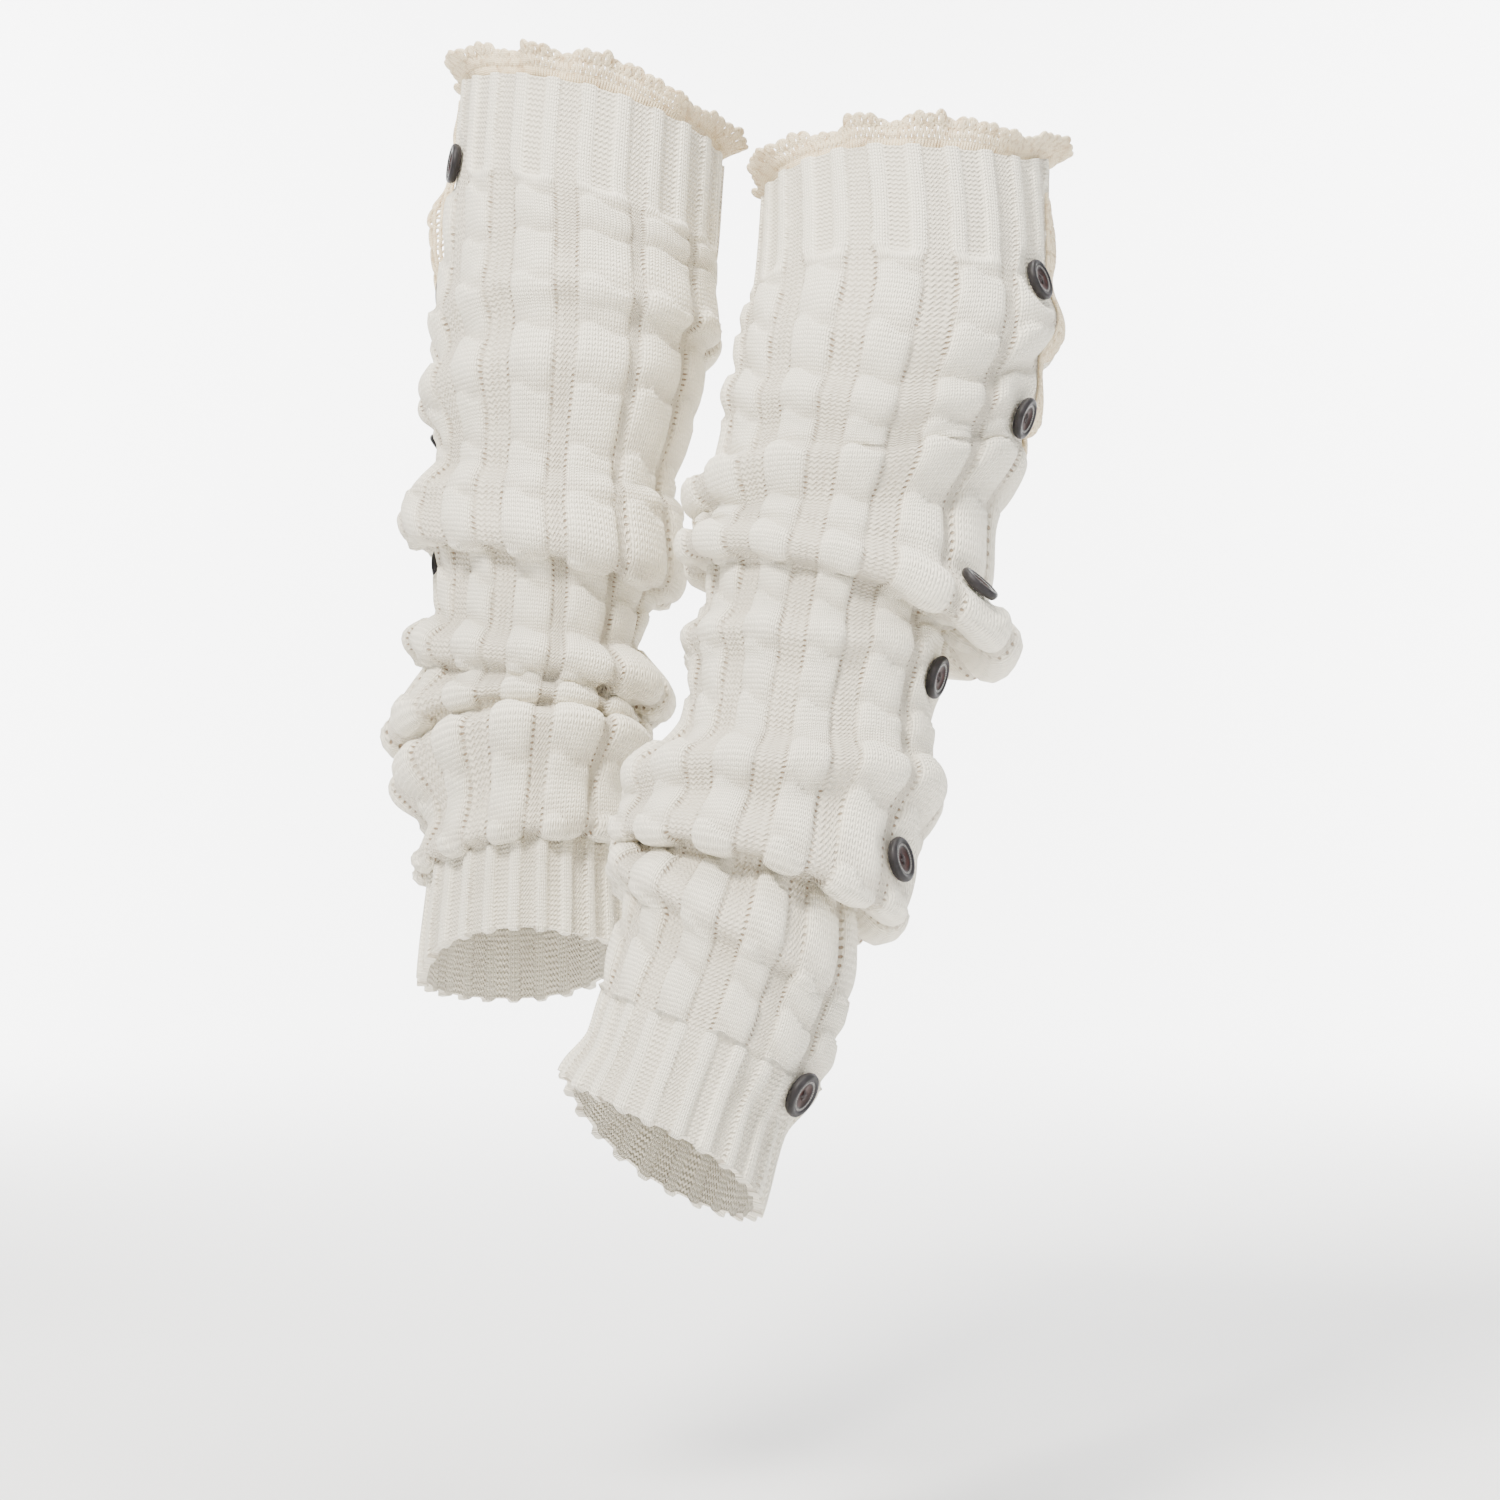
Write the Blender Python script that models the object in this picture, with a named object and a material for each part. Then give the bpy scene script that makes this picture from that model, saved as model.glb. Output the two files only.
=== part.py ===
"""Pair of slouched knitted boot cuffs (leg warmers) with lace trim and side buttons.

Two knitted tubes stand open and hollow in the pose in which a seated wearer holds them: the shins
slope forwards and cross towards the ankles. Each cuff has a ribbed band at the top, a cable-knit
leg gathered in slouch folds, a ribbed band at the ankle, a lace ruffle sewn inside the top edge, a
lace strip down the outer side and a row of buttons in front of that strip.

Frame: +Z up, -Y towards the feet and the viewer, +X to the viewer's right. The origin lies midway
between the two top openings, where the wearer's legs hold the pair. Left and right are as seen
from the front. Lengths in the tables are millimetres and are turned into metres at the end.

Each cuff is a loft. Its core table gives the centre and half width of the worn tube at stations
down the leg. Its ring table has a row for each edge, crest and crease: the station of that line
at six compass points round the leg, how far the cloth stands out from the core at four of them,
and how far a crest hangs past its line, or a crease is tucked up past it, as a share of the bulge.
"""

import math
from collections import namedtuple

import bmesh
import bpy
import numpy as np
from mathutils import Matrix, Vector
from mathutils.bvhtree import BVHTree

MM = 0.001
KNIT_WALL = 2.4
LACE_WALL = 1.2
SEAM_GAP = 0.3  # left between pieces that touch
ROUND_STEPS = 20  # facets round each tube
STEPS_PLAIN = 2  # lofted steps between two rows
STEPS_FOLD = 3  # the same where the cloth turns under itself
SWING_TO_TANGENT = 27 / 4  # a cubic's tangent for each unit that it swings past its end

COMPASS = (-90, -45, 0, 45, 90, 180)  # left, front left, front, front right, right, back
QUARTERS = (-90, 0, 90, 180)  # left, front, right, back

BUTTON_RADIUS = 9.0
BUTTON_THICK = 4.2
BUTTON_DISH = 1.3  # depth of the hollow in the button's face
BUTTON_HOLE = 1.1
BUTTON_HOLE_SPACING = 2.5  # of each hole from the centre
BUTTON_SIDES = 16
BUTTON_UNDERSIDE = ((0.0, 0.0), (0.35, 0.0), (0.66, 0.0), (0.87, 0.4), (1.0, 3.0))  # share, rise
BUTTON_SEARCH = 12.0  # how far above the cloth its highest point under a button is looked for

LACE_HEIGHT = 20.0  # of the ruffle at the top edge
LACE_TUCK = 4.0  # of it that is sewn down inside the band
# Each line of the ruffle: its rise above the edge, its lean outwards and how deep its waves are
LACE_LINES = ((-LACE_TUCK, 0, 0), (0.6, 0, 0), (9, 3.2, 1.8), (LACE_HEIGHT - LACE_TUCK, 7, 4.2))
LACE_WAVES = 10
LACE_STEPS = 40
STRIP_WIDTH = 21.0  # of the lace strip down the side
STRIP_STEPS = 16
STRIP_CLEAR = 0.8  # between the knit and the strip

CREAM = (0.90, 0.88, 0.80)
ECRU = (0.84, 0.75, 0.58)
CHARCOAL = (0.045, 0.038, 0.038)

Core = namedtuple("Core", "station x y z half_width")
Ring = namedtuple(
    "Ring",
    "name left front_left front front_right right back "
    "out_left out_front out_right out_back fold",
)
Cuff = namedtuple("Cuff", "name core rings divides buttons strip")
Button = namedtuple("Button", "row angle")
# The rows and angles that a lace strip's sewn edge runs between, and how many degrees its free
# edge flares from the cloth at the start, the middle and the end.
Strip = namedtuple("Strip", "first last first_angle last_angle flares")

LEFT_CORE = (
    Core(0, -72, 20, 19, 60),
    Core(66, -77, 3, -45, 60),
    Core(140, -82, -17, -115, 56),
    Core(207, -87, -35, -179, 48),
    Core(267, -91, -52, -237, 43),
    Core(331, -93, -70, -298, 40),
    Core(398, -92, -90, -362, 42),
)
LEFT_RINGS = (
    Ring("top_edge", -8, 3, 14, 20, 18, -2, -1.5, 0, 2, 0, 0),
    Ring("band_end", 34, 50, 62, 68, 64, 44, -3, 0, 2.5, 0, 0),
    Ring("knee_top", 94, 92, 90, 90, 83, 92, -1.5, 0, 3, 1, 0),
    Ring("knee_crest", 112, 110, 110, 111, 103, 110, 2.5, 4, 9, 4, 0.3),
    Ring("knee_crease", 131, 125, 122, 120, 112, 126, -2, 0, 2, 0, 0),
    Ring("calf_crest", 147, 148, 147, 141, 132, 146, 6.5, 4, 3, 4, 0.1),
    Ring("calf_crease", 164, 170, 171, 165, 158, 164, -3, 0, 1, 0, 0),
    Ring("lip_top", 177, 186, 192, 191, 184, 178, -1, 1, 0, 1, 0),
    Ring("lip_shelf", 193, 203, 206, 202, 195, 192, 14, 6, 8, 7, 0),
    Ring("lip_crest", 203, 219, 227, 229, 225, 200, 17, 11, 13, 9, 0.5),
    Ring("lip_crease", 211, 227, 233, 235, 231, 214, 0, 0, 0, 0, 0.3),
    Ring("swag_top", 242, 254, 260, 260, 252, 248, -1, 2, -3, 0, 0),
    Ring("swag_crest", 257, 270, 276, 279, 280, 266, 13, 8, 17, 9, 0.4),
    Ring("swag_crease", 267, 279, 284, 286, 287, 277, 2, 1, 1, 0, 0.2),
    Ring("wedge_crest", 298, 293, 291, 292, 296, 298, 21, 6, 8, 7, 0.3),
    Ring("wedge_crease", 308, 300, 296, 297, 302, 308, 5, 2, 4, 1, 0.2),
    Ring("roll_crest", 322, 313, 306, 305, 313, 322, 18, 14, 17, 10, 0.1),
    Ring("roll_crease", 344, 338, 332, 330, 328, 334, 0, 6, 4, 2, 0),
    Ring("ankle_crest", 356, 354, 350, 345, 342, 346, 7, 8, 9, 5, 0.4),
    Ring("band_start", 361, 360, 356, 351, 348, 354, 0, 0, 0, 0, 0),
    Ring("hem", 406, 396, 393, 395, 394, 404, 2.5, 0, 1, 3, 0),
)
RIGHT_CORE = (
    Core(0, 72, -20, -19, 62),
    Core(61, 68, -45, -75, 63),
    Core(129, 55, -74, -135, 61),
    Core(190, 39, -100, -188, 52),
    Core(244, 28, -124, -235, 47),
    Core(297, 15, -148, -280, 45),
    Core(353, 1, -175, -327, 42),
    Core(406, -12, -201, -372, 43),
    Core(464, -30, -230, -419, 43),
)
RIGHT_RINGS = (
    Ring("top_edge", 13, 23, 25, 14, -11, -12, 0, 0, 0, 0, 0),
    Ring("band_end", 67, 79, 80, 66, 43, 44, -0.5, 0, 0, 0, 0),
    Ring("knee_crest", 92, 115, 120, 101, 67, 78, 1, 3, 7, 3, 0),
    Ring("knee_crease", 112, 136, 141, 120, 84, 98, 0, 0, 1, 0, 0),
    Ring("calf_crest", 129, 151, 156, 134, 103, 118, 3, 4, 3, 3, 0),
    Ring("calf_crease", 146, 164, 167, 147, 118, 136, 0, 1, 1, 0, 0),
    Ring("shin_top", 166, 174, 174, 151, 124, 152, 1, 2, 2, 1, 0),
    Ring("shin_crest", 179, 184, 181, 156, 130, 164, 13, 5, 3, 6, 0.3),
    Ring("shin_crease", 189, 200, 198, 180, 156, 178, 4, 1, 1, 1, 0),
    Ring("lip_top", 195, 208, 211, 205, 196, 184, 7, 4, 12, 4, 0),
    Ring("lip_crest", 204, 219, 225, 225, 217, 192, 14, 9, 31, 8, 0.5),
    Ring("lip_crease", 213, 227, 232, 231, 221, 203, -2, 0, 0, 0, 0.3),
    Ring("girdle_top", 238, 246, 250, 240, 228, 234, -1, 1, 2, 0, 0),
    Ring("girdle_crest", 250, 260, 263, 251, 238, 246, 6, 5, 5, 4, 0.2),
    Ring("girdle_crease", 264, 272, 276, 266, 252, 262, -2, 0, 4, 0, 0),
    Ring("pouch_top", 287, 301, 303, 290, 275, 288, -4, 0, 9, 0, 0),
    Ring("pouch_crest", 319, 326, 324, 309, 294, 310, 15, 11, 19, 9, 0.1),
    Ring("pouch_crease", 331, 338, 337, 327, 318, 322, 12, 6, 15, 5, 0),
    Ring("swag_crest", 340, 353, 358, 358, 345, 338, 15, 14, 20, 9.5, 0.45),
    Ring("swag_crease", 346, 359, 364, 361, 351, 344, 3, 0, 0, 0, 0.3),
    Ring("sash_crest", 355, 377, 393, 396, 385, 356, 13, 8, 5, 2, 0.3),
    Ring("sash_crease", 367, 387, 402, 405, 396, 372, 0, 0, 4, 0, 0),
    Ring("band_start", 412, 427, 436, 437, 425, 414, -2, 1, 3.5, 0, 0),
    Ring("band_waist", 430, 446, 456, 455, 447, 438, -3, 0, -3, -1, 0),
    Ring("hem", 449, 466, 476, 478, 477, 464, 2, 1, -1, 2, 0),
)
# Buttons and strips are placed by row number down the ring table, so 2.5 is halfway from row 2 to
# row 3, and by angle round the leg from its front.
LEFT_BUTTONS = (
    Button(0.95, -72),
    Button(1.9, -98),
    Button(5.6, -112),
    Button(10.3, -105),
    Button(13.5, -118),
    Button(19.4, -116),
)
RIGHT_BUTTONS = (
    Button(1.22, 63),
    Button(4.6, 70),
    Button(9.55, 62),
    Button(13.55, 77),
    Button(17.5, 69),
    Button(22.25, 71),
)
CUFFS = (
    Cuff(
        "left",
        LEFT_CORE,
        LEFT_RINGS,
        ("calf_crease", "swag_top"),
        LEFT_BUTTONS,
        Strip(0.1, 2.7, -88, -119, (4, 73, 2)),
    ),
    Cuff(
        "right",
        RIGHT_CORE,
        RIGHT_RINGS,
        ("shin_top", "girdle_top"),
        RIGHT_BUTTONS,
        Strip(0.3, 5.4, 74, 82, (3, 15, 4)),
    ),
)


def around(knots, values, degrees):
    """A smooth closed curve through a value at each compass point, flat at its highs and lows."""
    at = np.array([*knots, knots[0] + 360], float)
    value = np.array([*values, values[0]], float)
    slope = np.diff(value) / np.diff(at)
    before = np.roll(slope, 1)
    same_way = before * slope > 0
    tangent = np.where(same_way, 2 * before * slope / np.where(same_way, before + slope, 1), 0)
    tangent = np.append(tangent, tangent[0])
    angle = (np.asarray(degrees, float) - at[0]) % 360 + at[0]
    i = np.clip(np.searchsorted(at, angle, "right") - 1, 0, len(knots) - 1)
    step = at[i + 1] - at[i]
    return hermite(
        value[i], value[i + 1], tangent[i] * step, tangent[i + 1] * step, (angle - at[i]) / step
    )


def hermite(a, b, leave, arrive, t):
    """The cubic from a to b that leaves and arrives at the given rates."""
    return (
        a * (2 * t**3 - 3 * t**2 + 1)
        + leave * (t**3 - 2 * t**2 + t)
        + b * (3 * t**2 - 2 * t**3)
        + arrive * (t**3 - t**2)
    )


def core_at(core, stations):
    """Centre, half width and frame (down, side, front) of the worn tube at each station."""
    table = np.array(core, float)
    known, values = table[:, 0], table[:, 1:]
    tangent = np.gradient(values, known, axis=0)
    s = np.asarray(stations, float)
    i = np.clip(np.searchsorted(known, s, "right") - 1, 0, len(known) - 2)
    step = (known[i + 1] - known[i])[..., None]
    t = ((s - known[i])[..., None]) / step
    inside = np.clip(t, 0, 1)
    value = hermite(values[i], values[i + 1], tangent[i] * step, tangent[i + 1] * step, inside)
    value = value + np.where(t > 1, tangent[i + 1], tangent[i]) * (t - inside) * step
    down = tangent[i, :3] * (1 - inside) + tangent[i + 1, :3] * inside
    down = unit(down)
    side = unit(np.array([1.0, 0, 0]) - down[..., :1] * down)
    return value[..., :3], value[..., 3], down, side, np.cross(down, side)


def unit(vectors):
    return vectors / np.linalg.norm(vectors, axis=-1, keepdims=True)


def ring_lines(cuff, degrees):
    """Station, bulge, hang of each crest and tuck of each crease, for every row and angle."""
    stations = np.array([around(COMPASS, row[1:7], degrees) for row in cuff.rings])
    outs = np.array([around(QUARTERS, row[7:11], degrees) for row in cuff.rings])
    fold = np.array([row.fold for row in cuff.rings])[:, None]
    crease = np.array([row.name.endswith("crease") for row in cuff.rings])[:, None]
    hang = np.where(crease, 0, fold * np.maximum(outs, 0))
    tuck = np.where(crease, fold * np.maximum(np.roll(outs, 1, 0), 0), 0)
    return stations, outs, hang, tuck


def profile(cuff, rows, degrees):
    """Station and radius of the cloth's outer face at row numbers (may be fractions) and angles."""
    rows, degrees = np.broadcast_arrays(np.asarray(rows, float), np.asarray(degrees, float))
    stations, outs, hang, tuck = ring_lines(cuff, degrees.ravel())
    count = len(cuff.rings)
    i = np.clip(np.floor(rows.ravel()).astype(int), 0, count - 2)
    t = rows.ravel() - i
    column = np.arange(len(i))
    rate = np.gradient(stations, axis=0)

    def pick(table, row):
        return table[row, column]

    gap = pick(stations, i + 1) - pick(stations, i)
    room = 2.5 * np.maximum(gap, 0)
    leave = np.maximum(np.minimum(pick(rate, i), room), pick(hang, i) * SWING_TO_TANGENT)
    arrive = np.maximum(np.minimum(pick(rate, i + 1), room), pick(tuck, i + 1) * SWING_TO_TANGENT)
    station = hermite(pick(stations, i), pick(stations, i + 1), leave, arrive, t)
    blend = t * t * (3 - 2 * t)
    out = pick(outs, i) * (1 - blend) + pick(outs, i + 1) * blend
    radius = core_at(cuff.core, station)[1] + out
    return station.reshape(rows.shape), radius.reshape(rows.shape)


def cloth_points(cuff, rows, degrees):
    """Points of the cloth's outer face, as an array over rows and angles."""
    station, radius = profile(cuff, rows, degrees)
    centre, _, _, side, front = core_at(cuff.core, station)
    angle = np.radians(np.broadcast_to(degrees, station.shape))[..., None]
    return centre + radius[..., None] * (np.sin(angle) * side + np.cos(angle) * front)


def cloth_frame(cuff, row, degrees, step=0.02, turn=1.0):
    """A point on the outer face, its outward normal and the direction down the cloth."""
    here = cloth_points(cuff, row, degrees)
    down = cloth_points(cuff, row + step, degrees) - cloth_points(cuff, row - step, degrees)
    across = cloth_points(cuff, row, degrees + turn) - cloth_points(cuff, row, degrees - turn)
    normal = unit(np.cross(across, down))
    return here, -normal, unit(down)


def loft_rows(cuff, first, last):
    """Row numbers of the lofted sections from one row of the ring table to another."""
    rows = []
    for i in range(first, last):
        turned = cuff.rings[i].fold >= 0.3 and cuff.rings[i].name.endswith("crest")
        steps = STEPS_FOLD if turned else STEPS_PLAIN
        rows += [i + k / steps for k in range(steps)]
    return [*rows, last]


def grid_normals(points):
    """Outward normals of a grid of rings, open along its length and closed round."""
    down = np.gradient(points, axis=0)
    across = (np.roll(points, -1, 1) - np.roll(points, 1, 1)) / 2
    return -unit(np.cross(across, down))


def shell(name, outer, inner, material, closed=True):
    """A wall between an outer and an inner grid of rings, or of rows if it isn't closed round."""
    rows, columns = outer.shape[:2]
    vertices = np.concatenate([outer.reshape(-1, 3), inner.reshape(-1, 3)]) * MM
    offset = rows * columns
    faces = []
    wide = columns if closed else columns - 1
    for i in range(rows - 1):
        for j in range(wide):
            k = (j + 1) % columns
            here, below = i * columns, (i + 1) * columns
            quad = (here + j, here + k, below + k, below + j)
            faces.append(quad)
            faces.append(tuple(offset + v for v in reversed(quad)))
    for i, way in ((0, 1), (rows - 1, -1)):
        for j in range(wide):
            k = (j + 1) % columns
            edge = (i * columns + j, i * columns + k)
            faces.append((edge[0] + offset, edge[1] + offset, edge[1], edge[0])[::way])
    if not closed:
        for j, way in ((0, -1), (columns - 1, 1)):
            for i in range(rows - 1):
                edge = (i * columns + j, (i + 1) * columns + j)
                faces.append((edge[0] + offset, edge[1] + offset, edge[1], edge[0])[::way])
    mesh = bpy.data.meshes.new(name)
    mesh.from_pydata([tuple(v) for v in vertices], [], faces)
    mesh.validate()
    return add(name, mesh, material)


def add(name, mesh, material):
    """Puts a mesh in the scene with its normals outwards and its curved faces smooth."""
    build = bmesh.new()
    build.from_mesh(mesh)
    bmesh.ops.recalc_face_normals(build, faces=build.faces)
    build.to_mesh(mesh)
    build.free()
    mesh.materials.append(material)
    mesh.shade_smooth()
    mesh.set_sharp_from_angle(angle=math.radians(50))
    thing = bpy.data.objects.new(name, mesh)
    COLLECTION.objects.link(thing)
    return thing


def make_material(name, colour, roughness):
    material = bpy.data.materials.new(name)
    material.use_nodes = True
    shader = material.node_tree.nodes["Principled BSDF"]
    shader.inputs["Base Color"].default_value = (*colour, 1)
    shader.inputs["Roughness"].default_value = roughness
    shader.inputs["Metallic"].default_value = 0
    return material


def make_tube(cuff, material):
    """The knitted tube: a top band, a cable-knit leg in three lengths and an ankle band.

    The leg is knitted in one, and is divided only so that simulated collision can follow its bends.
    """
    names = [row.name for row in cuff.rings]
    last = len(names) - 1
    top, ankle = names.index("band_end"), names.index("band_start")
    angles = np.arange(ROUND_STEPS) * 360 / ROUND_STEPS
    knee, shin = (names.index(name) for name in cuff.divides)
    stretches = (
        ("top_band", 0, top),
        ("leg_upper", top, knee),
        ("leg_middle", knee, shin),
        ("leg_lower", shin, ankle),
        ("ankle_band", ankle, last),
    )
    rows = np.array(loft_rows(cuff, 0, last))
    outer = cloth_points(cuff, rows[:, None], angles[None, :])
    inner = outer - KNIT_WALL * grid_normals(outer)
    made = []
    for name, first, end in stretches:
        keep = (rows >= first) & (rows <= end)
        faces = []
        for grid in (outer[keep], inner[keep]):
            grid = grid.copy()
            if first > 0:
                grid[0] += unit(grid[1] - grid[0]) * SEAM_GAP / 2
            if end < last:
                grid[-1] += unit(grid[-2] - grid[-1]) * SEAM_GAP / 2
            faces.append(grid)
        made.append(shell(f"{cuff.name}_{name}", *faces, material))
    return made


def ruffle(turns):
    """Height of a sewn ruffle's waves at a share of the way round, between -1 and 1, unevenly."""
    wave = 2 * math.pi * np.asarray(turns)
    return 0.72 * np.sin(LACE_WAVES * wave + 1.1 * np.sin(3 * wave)) + 0.28 * np.sin(7 * wave + 1)


def make_top_lace(cuff, material):
    """The ruffle sewn inside the top edge: it rises from the band, flares out and waves."""
    turns = np.arange(LACE_STEPS) / LACE_STEPS
    angles = turns * 360
    edge = cloth_points(cuff, 0.0, angles)
    below = cloth_points(cuff, 0.15, angles)
    up = unit(edge - below)
    around_edge = (np.roll(edge, -1, 0) - np.roll(edge, 1, 0)) / 2
    out = unit(np.cross(around_edge, up))
    out = np.where(((out * (edge - edge.mean(0))).sum(1) < 0)[:, None], -out, out)
    chord = 65 * (1 - math.cos(math.pi / ROUND_STEPS))  # the band's facets lie inside its curve
    sewn_in = KNIT_WALL + SEAM_GAP + chord + LACE_WALL / 2
    waves = ruffle(turns)[:, None]
    middle = np.array(
        [edge + up * rise + out * (lean - sewn_in + wave * waves) for rise, lean, wave in LACE_LINES]
    )
    half = grid_normals(middle) * LACE_WALL / 2
    shell(f"{cuff.name}_top_lace", middle + half, middle - half, material)


def make_side_strip(cuff, material):
    """The lace strip behind the buttons: sewn along one edge, with its free edge standing out."""
    strip = cuff.strip
    behind = math.copysign(1, strip.first_angle)
    lines = []
    for share in np.linspace(0, 1, STRIP_STEPS):
        row = strip.first + (strip.last - strip.first) * share
        start = strip.first_angle + (strip.last_angle - strip.first_angle) * share
        radius = float(profile(cuff, row, start)[1])
        here, normal, down = cloth_frame(cuff, row, start)
        across = unit(np.cross(down, normal)) * -behind
        flare = np.interp(share, (0, 0.5, 1), strip.flares) + 6 * math.sin(share * 19)
        flare = math.radians(flare)
        line = []
        for reach in (0.0, STRIP_WIDTH / 2, STRIP_WIDTH):
            # the tube curves away past the sewn edge, and the strip turns with it
            bend = reach / radius / 2
            step = across * math.cos(bend - flare) * reach + normal * (math.sin(flare - bend) * reach)
            line.append(here + normal * (STRIP_CLEAR + LACE_WALL / 2) + step)
        lines.append(line)
    middle = np.array(lines)
    tall = np.gradient(middle, axis=0)
    wide = np.gradient(middle, axis=1)
    half = unit(np.cross(wide, tall)) * behind * LACE_WALL / 2
    shell(f"{cuff.name}_side_lace", middle + half, middle - half, material, closed=False)


def button_mesh(name):
    """A dished button with a rounded rim, turned about Z with its back at the origin, then drilled."""
    rim = 1.2
    profile_points = (
        (0, BUTTON_THICK - BUTTON_DISH),
        (BUTTON_RADIUS * 0.62, BUTTON_THICK - BUTTON_DISH),
        (BUTTON_RADIUS * 0.76, BUTTON_THICK),
        (BUTTON_RADIUS - rim * 0.6, BUTTON_THICK - 0.2),
        (BUTTON_RADIUS, BUTTON_THICK - rim),
        (BUTTON_RADIUS - rim, 0.4),
        (BUTTON_RADIUS - 2.5 * rim, 0),
        (0, 0),
    )
    build = bmesh.new()
    points = [build.verts.new((x * MM, 0, z * MM)) for x, z in profile_points]
    edges = [build.edges.new(pair) for pair in zip(points, points[1:])]
    bmesh.ops.spin(
        build, geom=points + edges, cent=(0, 0, 0), axis=(0, 0, 1), angle=2 * math.pi,
        steps=BUTTON_SIDES, use_merge=True,
    )
    bmesh.ops.remove_doubles(build, verts=build.verts, dist=1e-5)
    bmesh.ops.recalc_face_normals(build, faces=build.faces)
    mesh = bpy.data.meshes.new(name)
    build.to_mesh(mesh)
    build.free()
    return mesh


def drill(mesh):
    """The mesh with its four thread holes cut through by a Boolean."""
    blank = bpy.data.objects.new("button_blank", mesh)
    COLLECTION.objects.link(blank)
    for k in range(4):
        turn = math.pi / 4 + k * math.pi / 2
        cutter = bmesh.new()
        bmesh.ops.create_cone(
            cutter, cap_ends=True, segments=8, radius1=BUTTON_HOLE * MM, radius2=BUTTON_HOLE * MM,
            depth=4 * BUTTON_THICK * MM,
        )
        shift = Vector((math.cos(turn), math.sin(turn), 0)) * BUTTON_HOLE_SPACING * MM
        bmesh.ops.translate(cutter, verts=cutter.verts, vec=shift)
        cutter_mesh = bpy.data.meshes.new(f"thread_hole_{k}")
        cutter.to_mesh(cutter_mesh)
        cutter.free()
        tool = bpy.data.objects.new(f"thread_hole_{k}", cutter_mesh)
        tool.hide_render = True
        tool.display_type = "WIRE"
        CUTTERS.objects.link(tool)
        cut = blank.modifiers.new(f"hole_{k}", "BOOLEAN")
        cut.operation = "DIFFERENCE"
        cut.object = tool
    bpy.context.view_layer.update()
    graph = bpy.context.evaluated_depsgraph_get()
    drilled = bpy.data.meshes.new_from_object(blank.evaluated_get(graph))
    bpy.data.objects.remove(blank)
    return drilled


def resting_height(cloths, here, x, y, z):
    """How high above a point on the cloth a button's flat back has to be to clear the cloth."""
    highest = -BUTTON_SEARCH
    for reach, underside in BUTTON_UNDERSIDE:
        for k in range(24):
            turn = k * math.pi / 12
            spot = here + (x * math.cos(turn) + y * math.sin(turn)) * reach * BUTTON_RADIUS
            for cloth in cloths:
                start = (spot + z * BUTTON_SEARCH) * MM
                hit = cloth.ray_cast(start, -z, 1.5 * BUTTON_SEARCH * MM)[3]
                if hit is not None:
                    highest = max(highest, BUTTON_SEARCH - hit / MM - underside)
    return highest


def make_buttons(cuff, mesh, stretches):
    """The row of buttons down the outer side, each lying on the cloth and facing out."""
    cloths = []
    for stretch in stretches:
        cloth = bmesh.new()
        cloth.from_mesh(stretch.data)
        cloths.append(BVHTree.FromBMesh(cloth))
        cloth.free()
    for number, (row, angle) in enumerate(cuff.buttons, 1):
        here, normal, down = cloth_frame(cuff, row, angle, 0.12, 8)
        here, z = Vector(here), Vector(normal)
        x = (-Vector(down)).cross(z).normalized()
        y = z.cross(x)
        lift = resting_height(cloths, here, x, y, z) + SEAM_GAP
        button = bpy.data.objects.new(f"{cuff.name}_button_{number}", mesh)
        turned = Matrix((x, y, z)).transposed().to_4x4()
        button.matrix_world = Matrix.Translation((here + z * lift) * MM) @ turned
        COLLECTION.objects.link(button)


for leftover in list(bpy.data.objects):
    bpy.data.objects.remove(leftover)
COLLECTION = bpy.data.collections.new("knitted_boot_cuffs")
CUTTERS = bpy.data.collections.new("cutters")
bpy.context.scene.collection.children.link(COLLECTION)
bpy.context.scene.collection.children.link(CUTTERS)

knit = make_material("cream_knit", CREAM, 0.9)
lace = make_material("ecru_lace", ECRU, 0.85)
horn = make_material("charcoal_button", CHARCOAL, 0.4)
button = drill(button_mesh("button"))
button.materials.clear()
button.materials.append(horn)
button.shade_smooth()
button.set_sharp_from_angle(angle=math.radians(35))
for cuff in CUFFS:
    stretches = make_tube(cuff, knit)
    make_top_lace(cuff, lace)
    make_side_strip(cuff, lace)
    make_buttons(cuff, button, stretches)
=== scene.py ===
"""Pair of slouched knitted boot cuffs with lace trim and side buttons: the visual model.

Each cuff is a knitted tube in three stretches, all on one surface: a ribbed top band, a cable-knit
leg gathered in slouch folds and a ribbed ankle band. A crocheted lace ruffle stands at the top
edge, a lace strip runs down the outer side, and dished buttons lie in front of that strip.

Lengths in the tables are millimetres and are turned into metres when a mesh is made. A cuff's
surface has two coordinates: the row, which counts down its ring table, and the angle round the
leg from its front. The knitting has two more, and its UV map holds them: the wale, which counts
stitches round the tube, and the course, which counts stitches down it.
"""

import math
from collections import namedtuple

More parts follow.
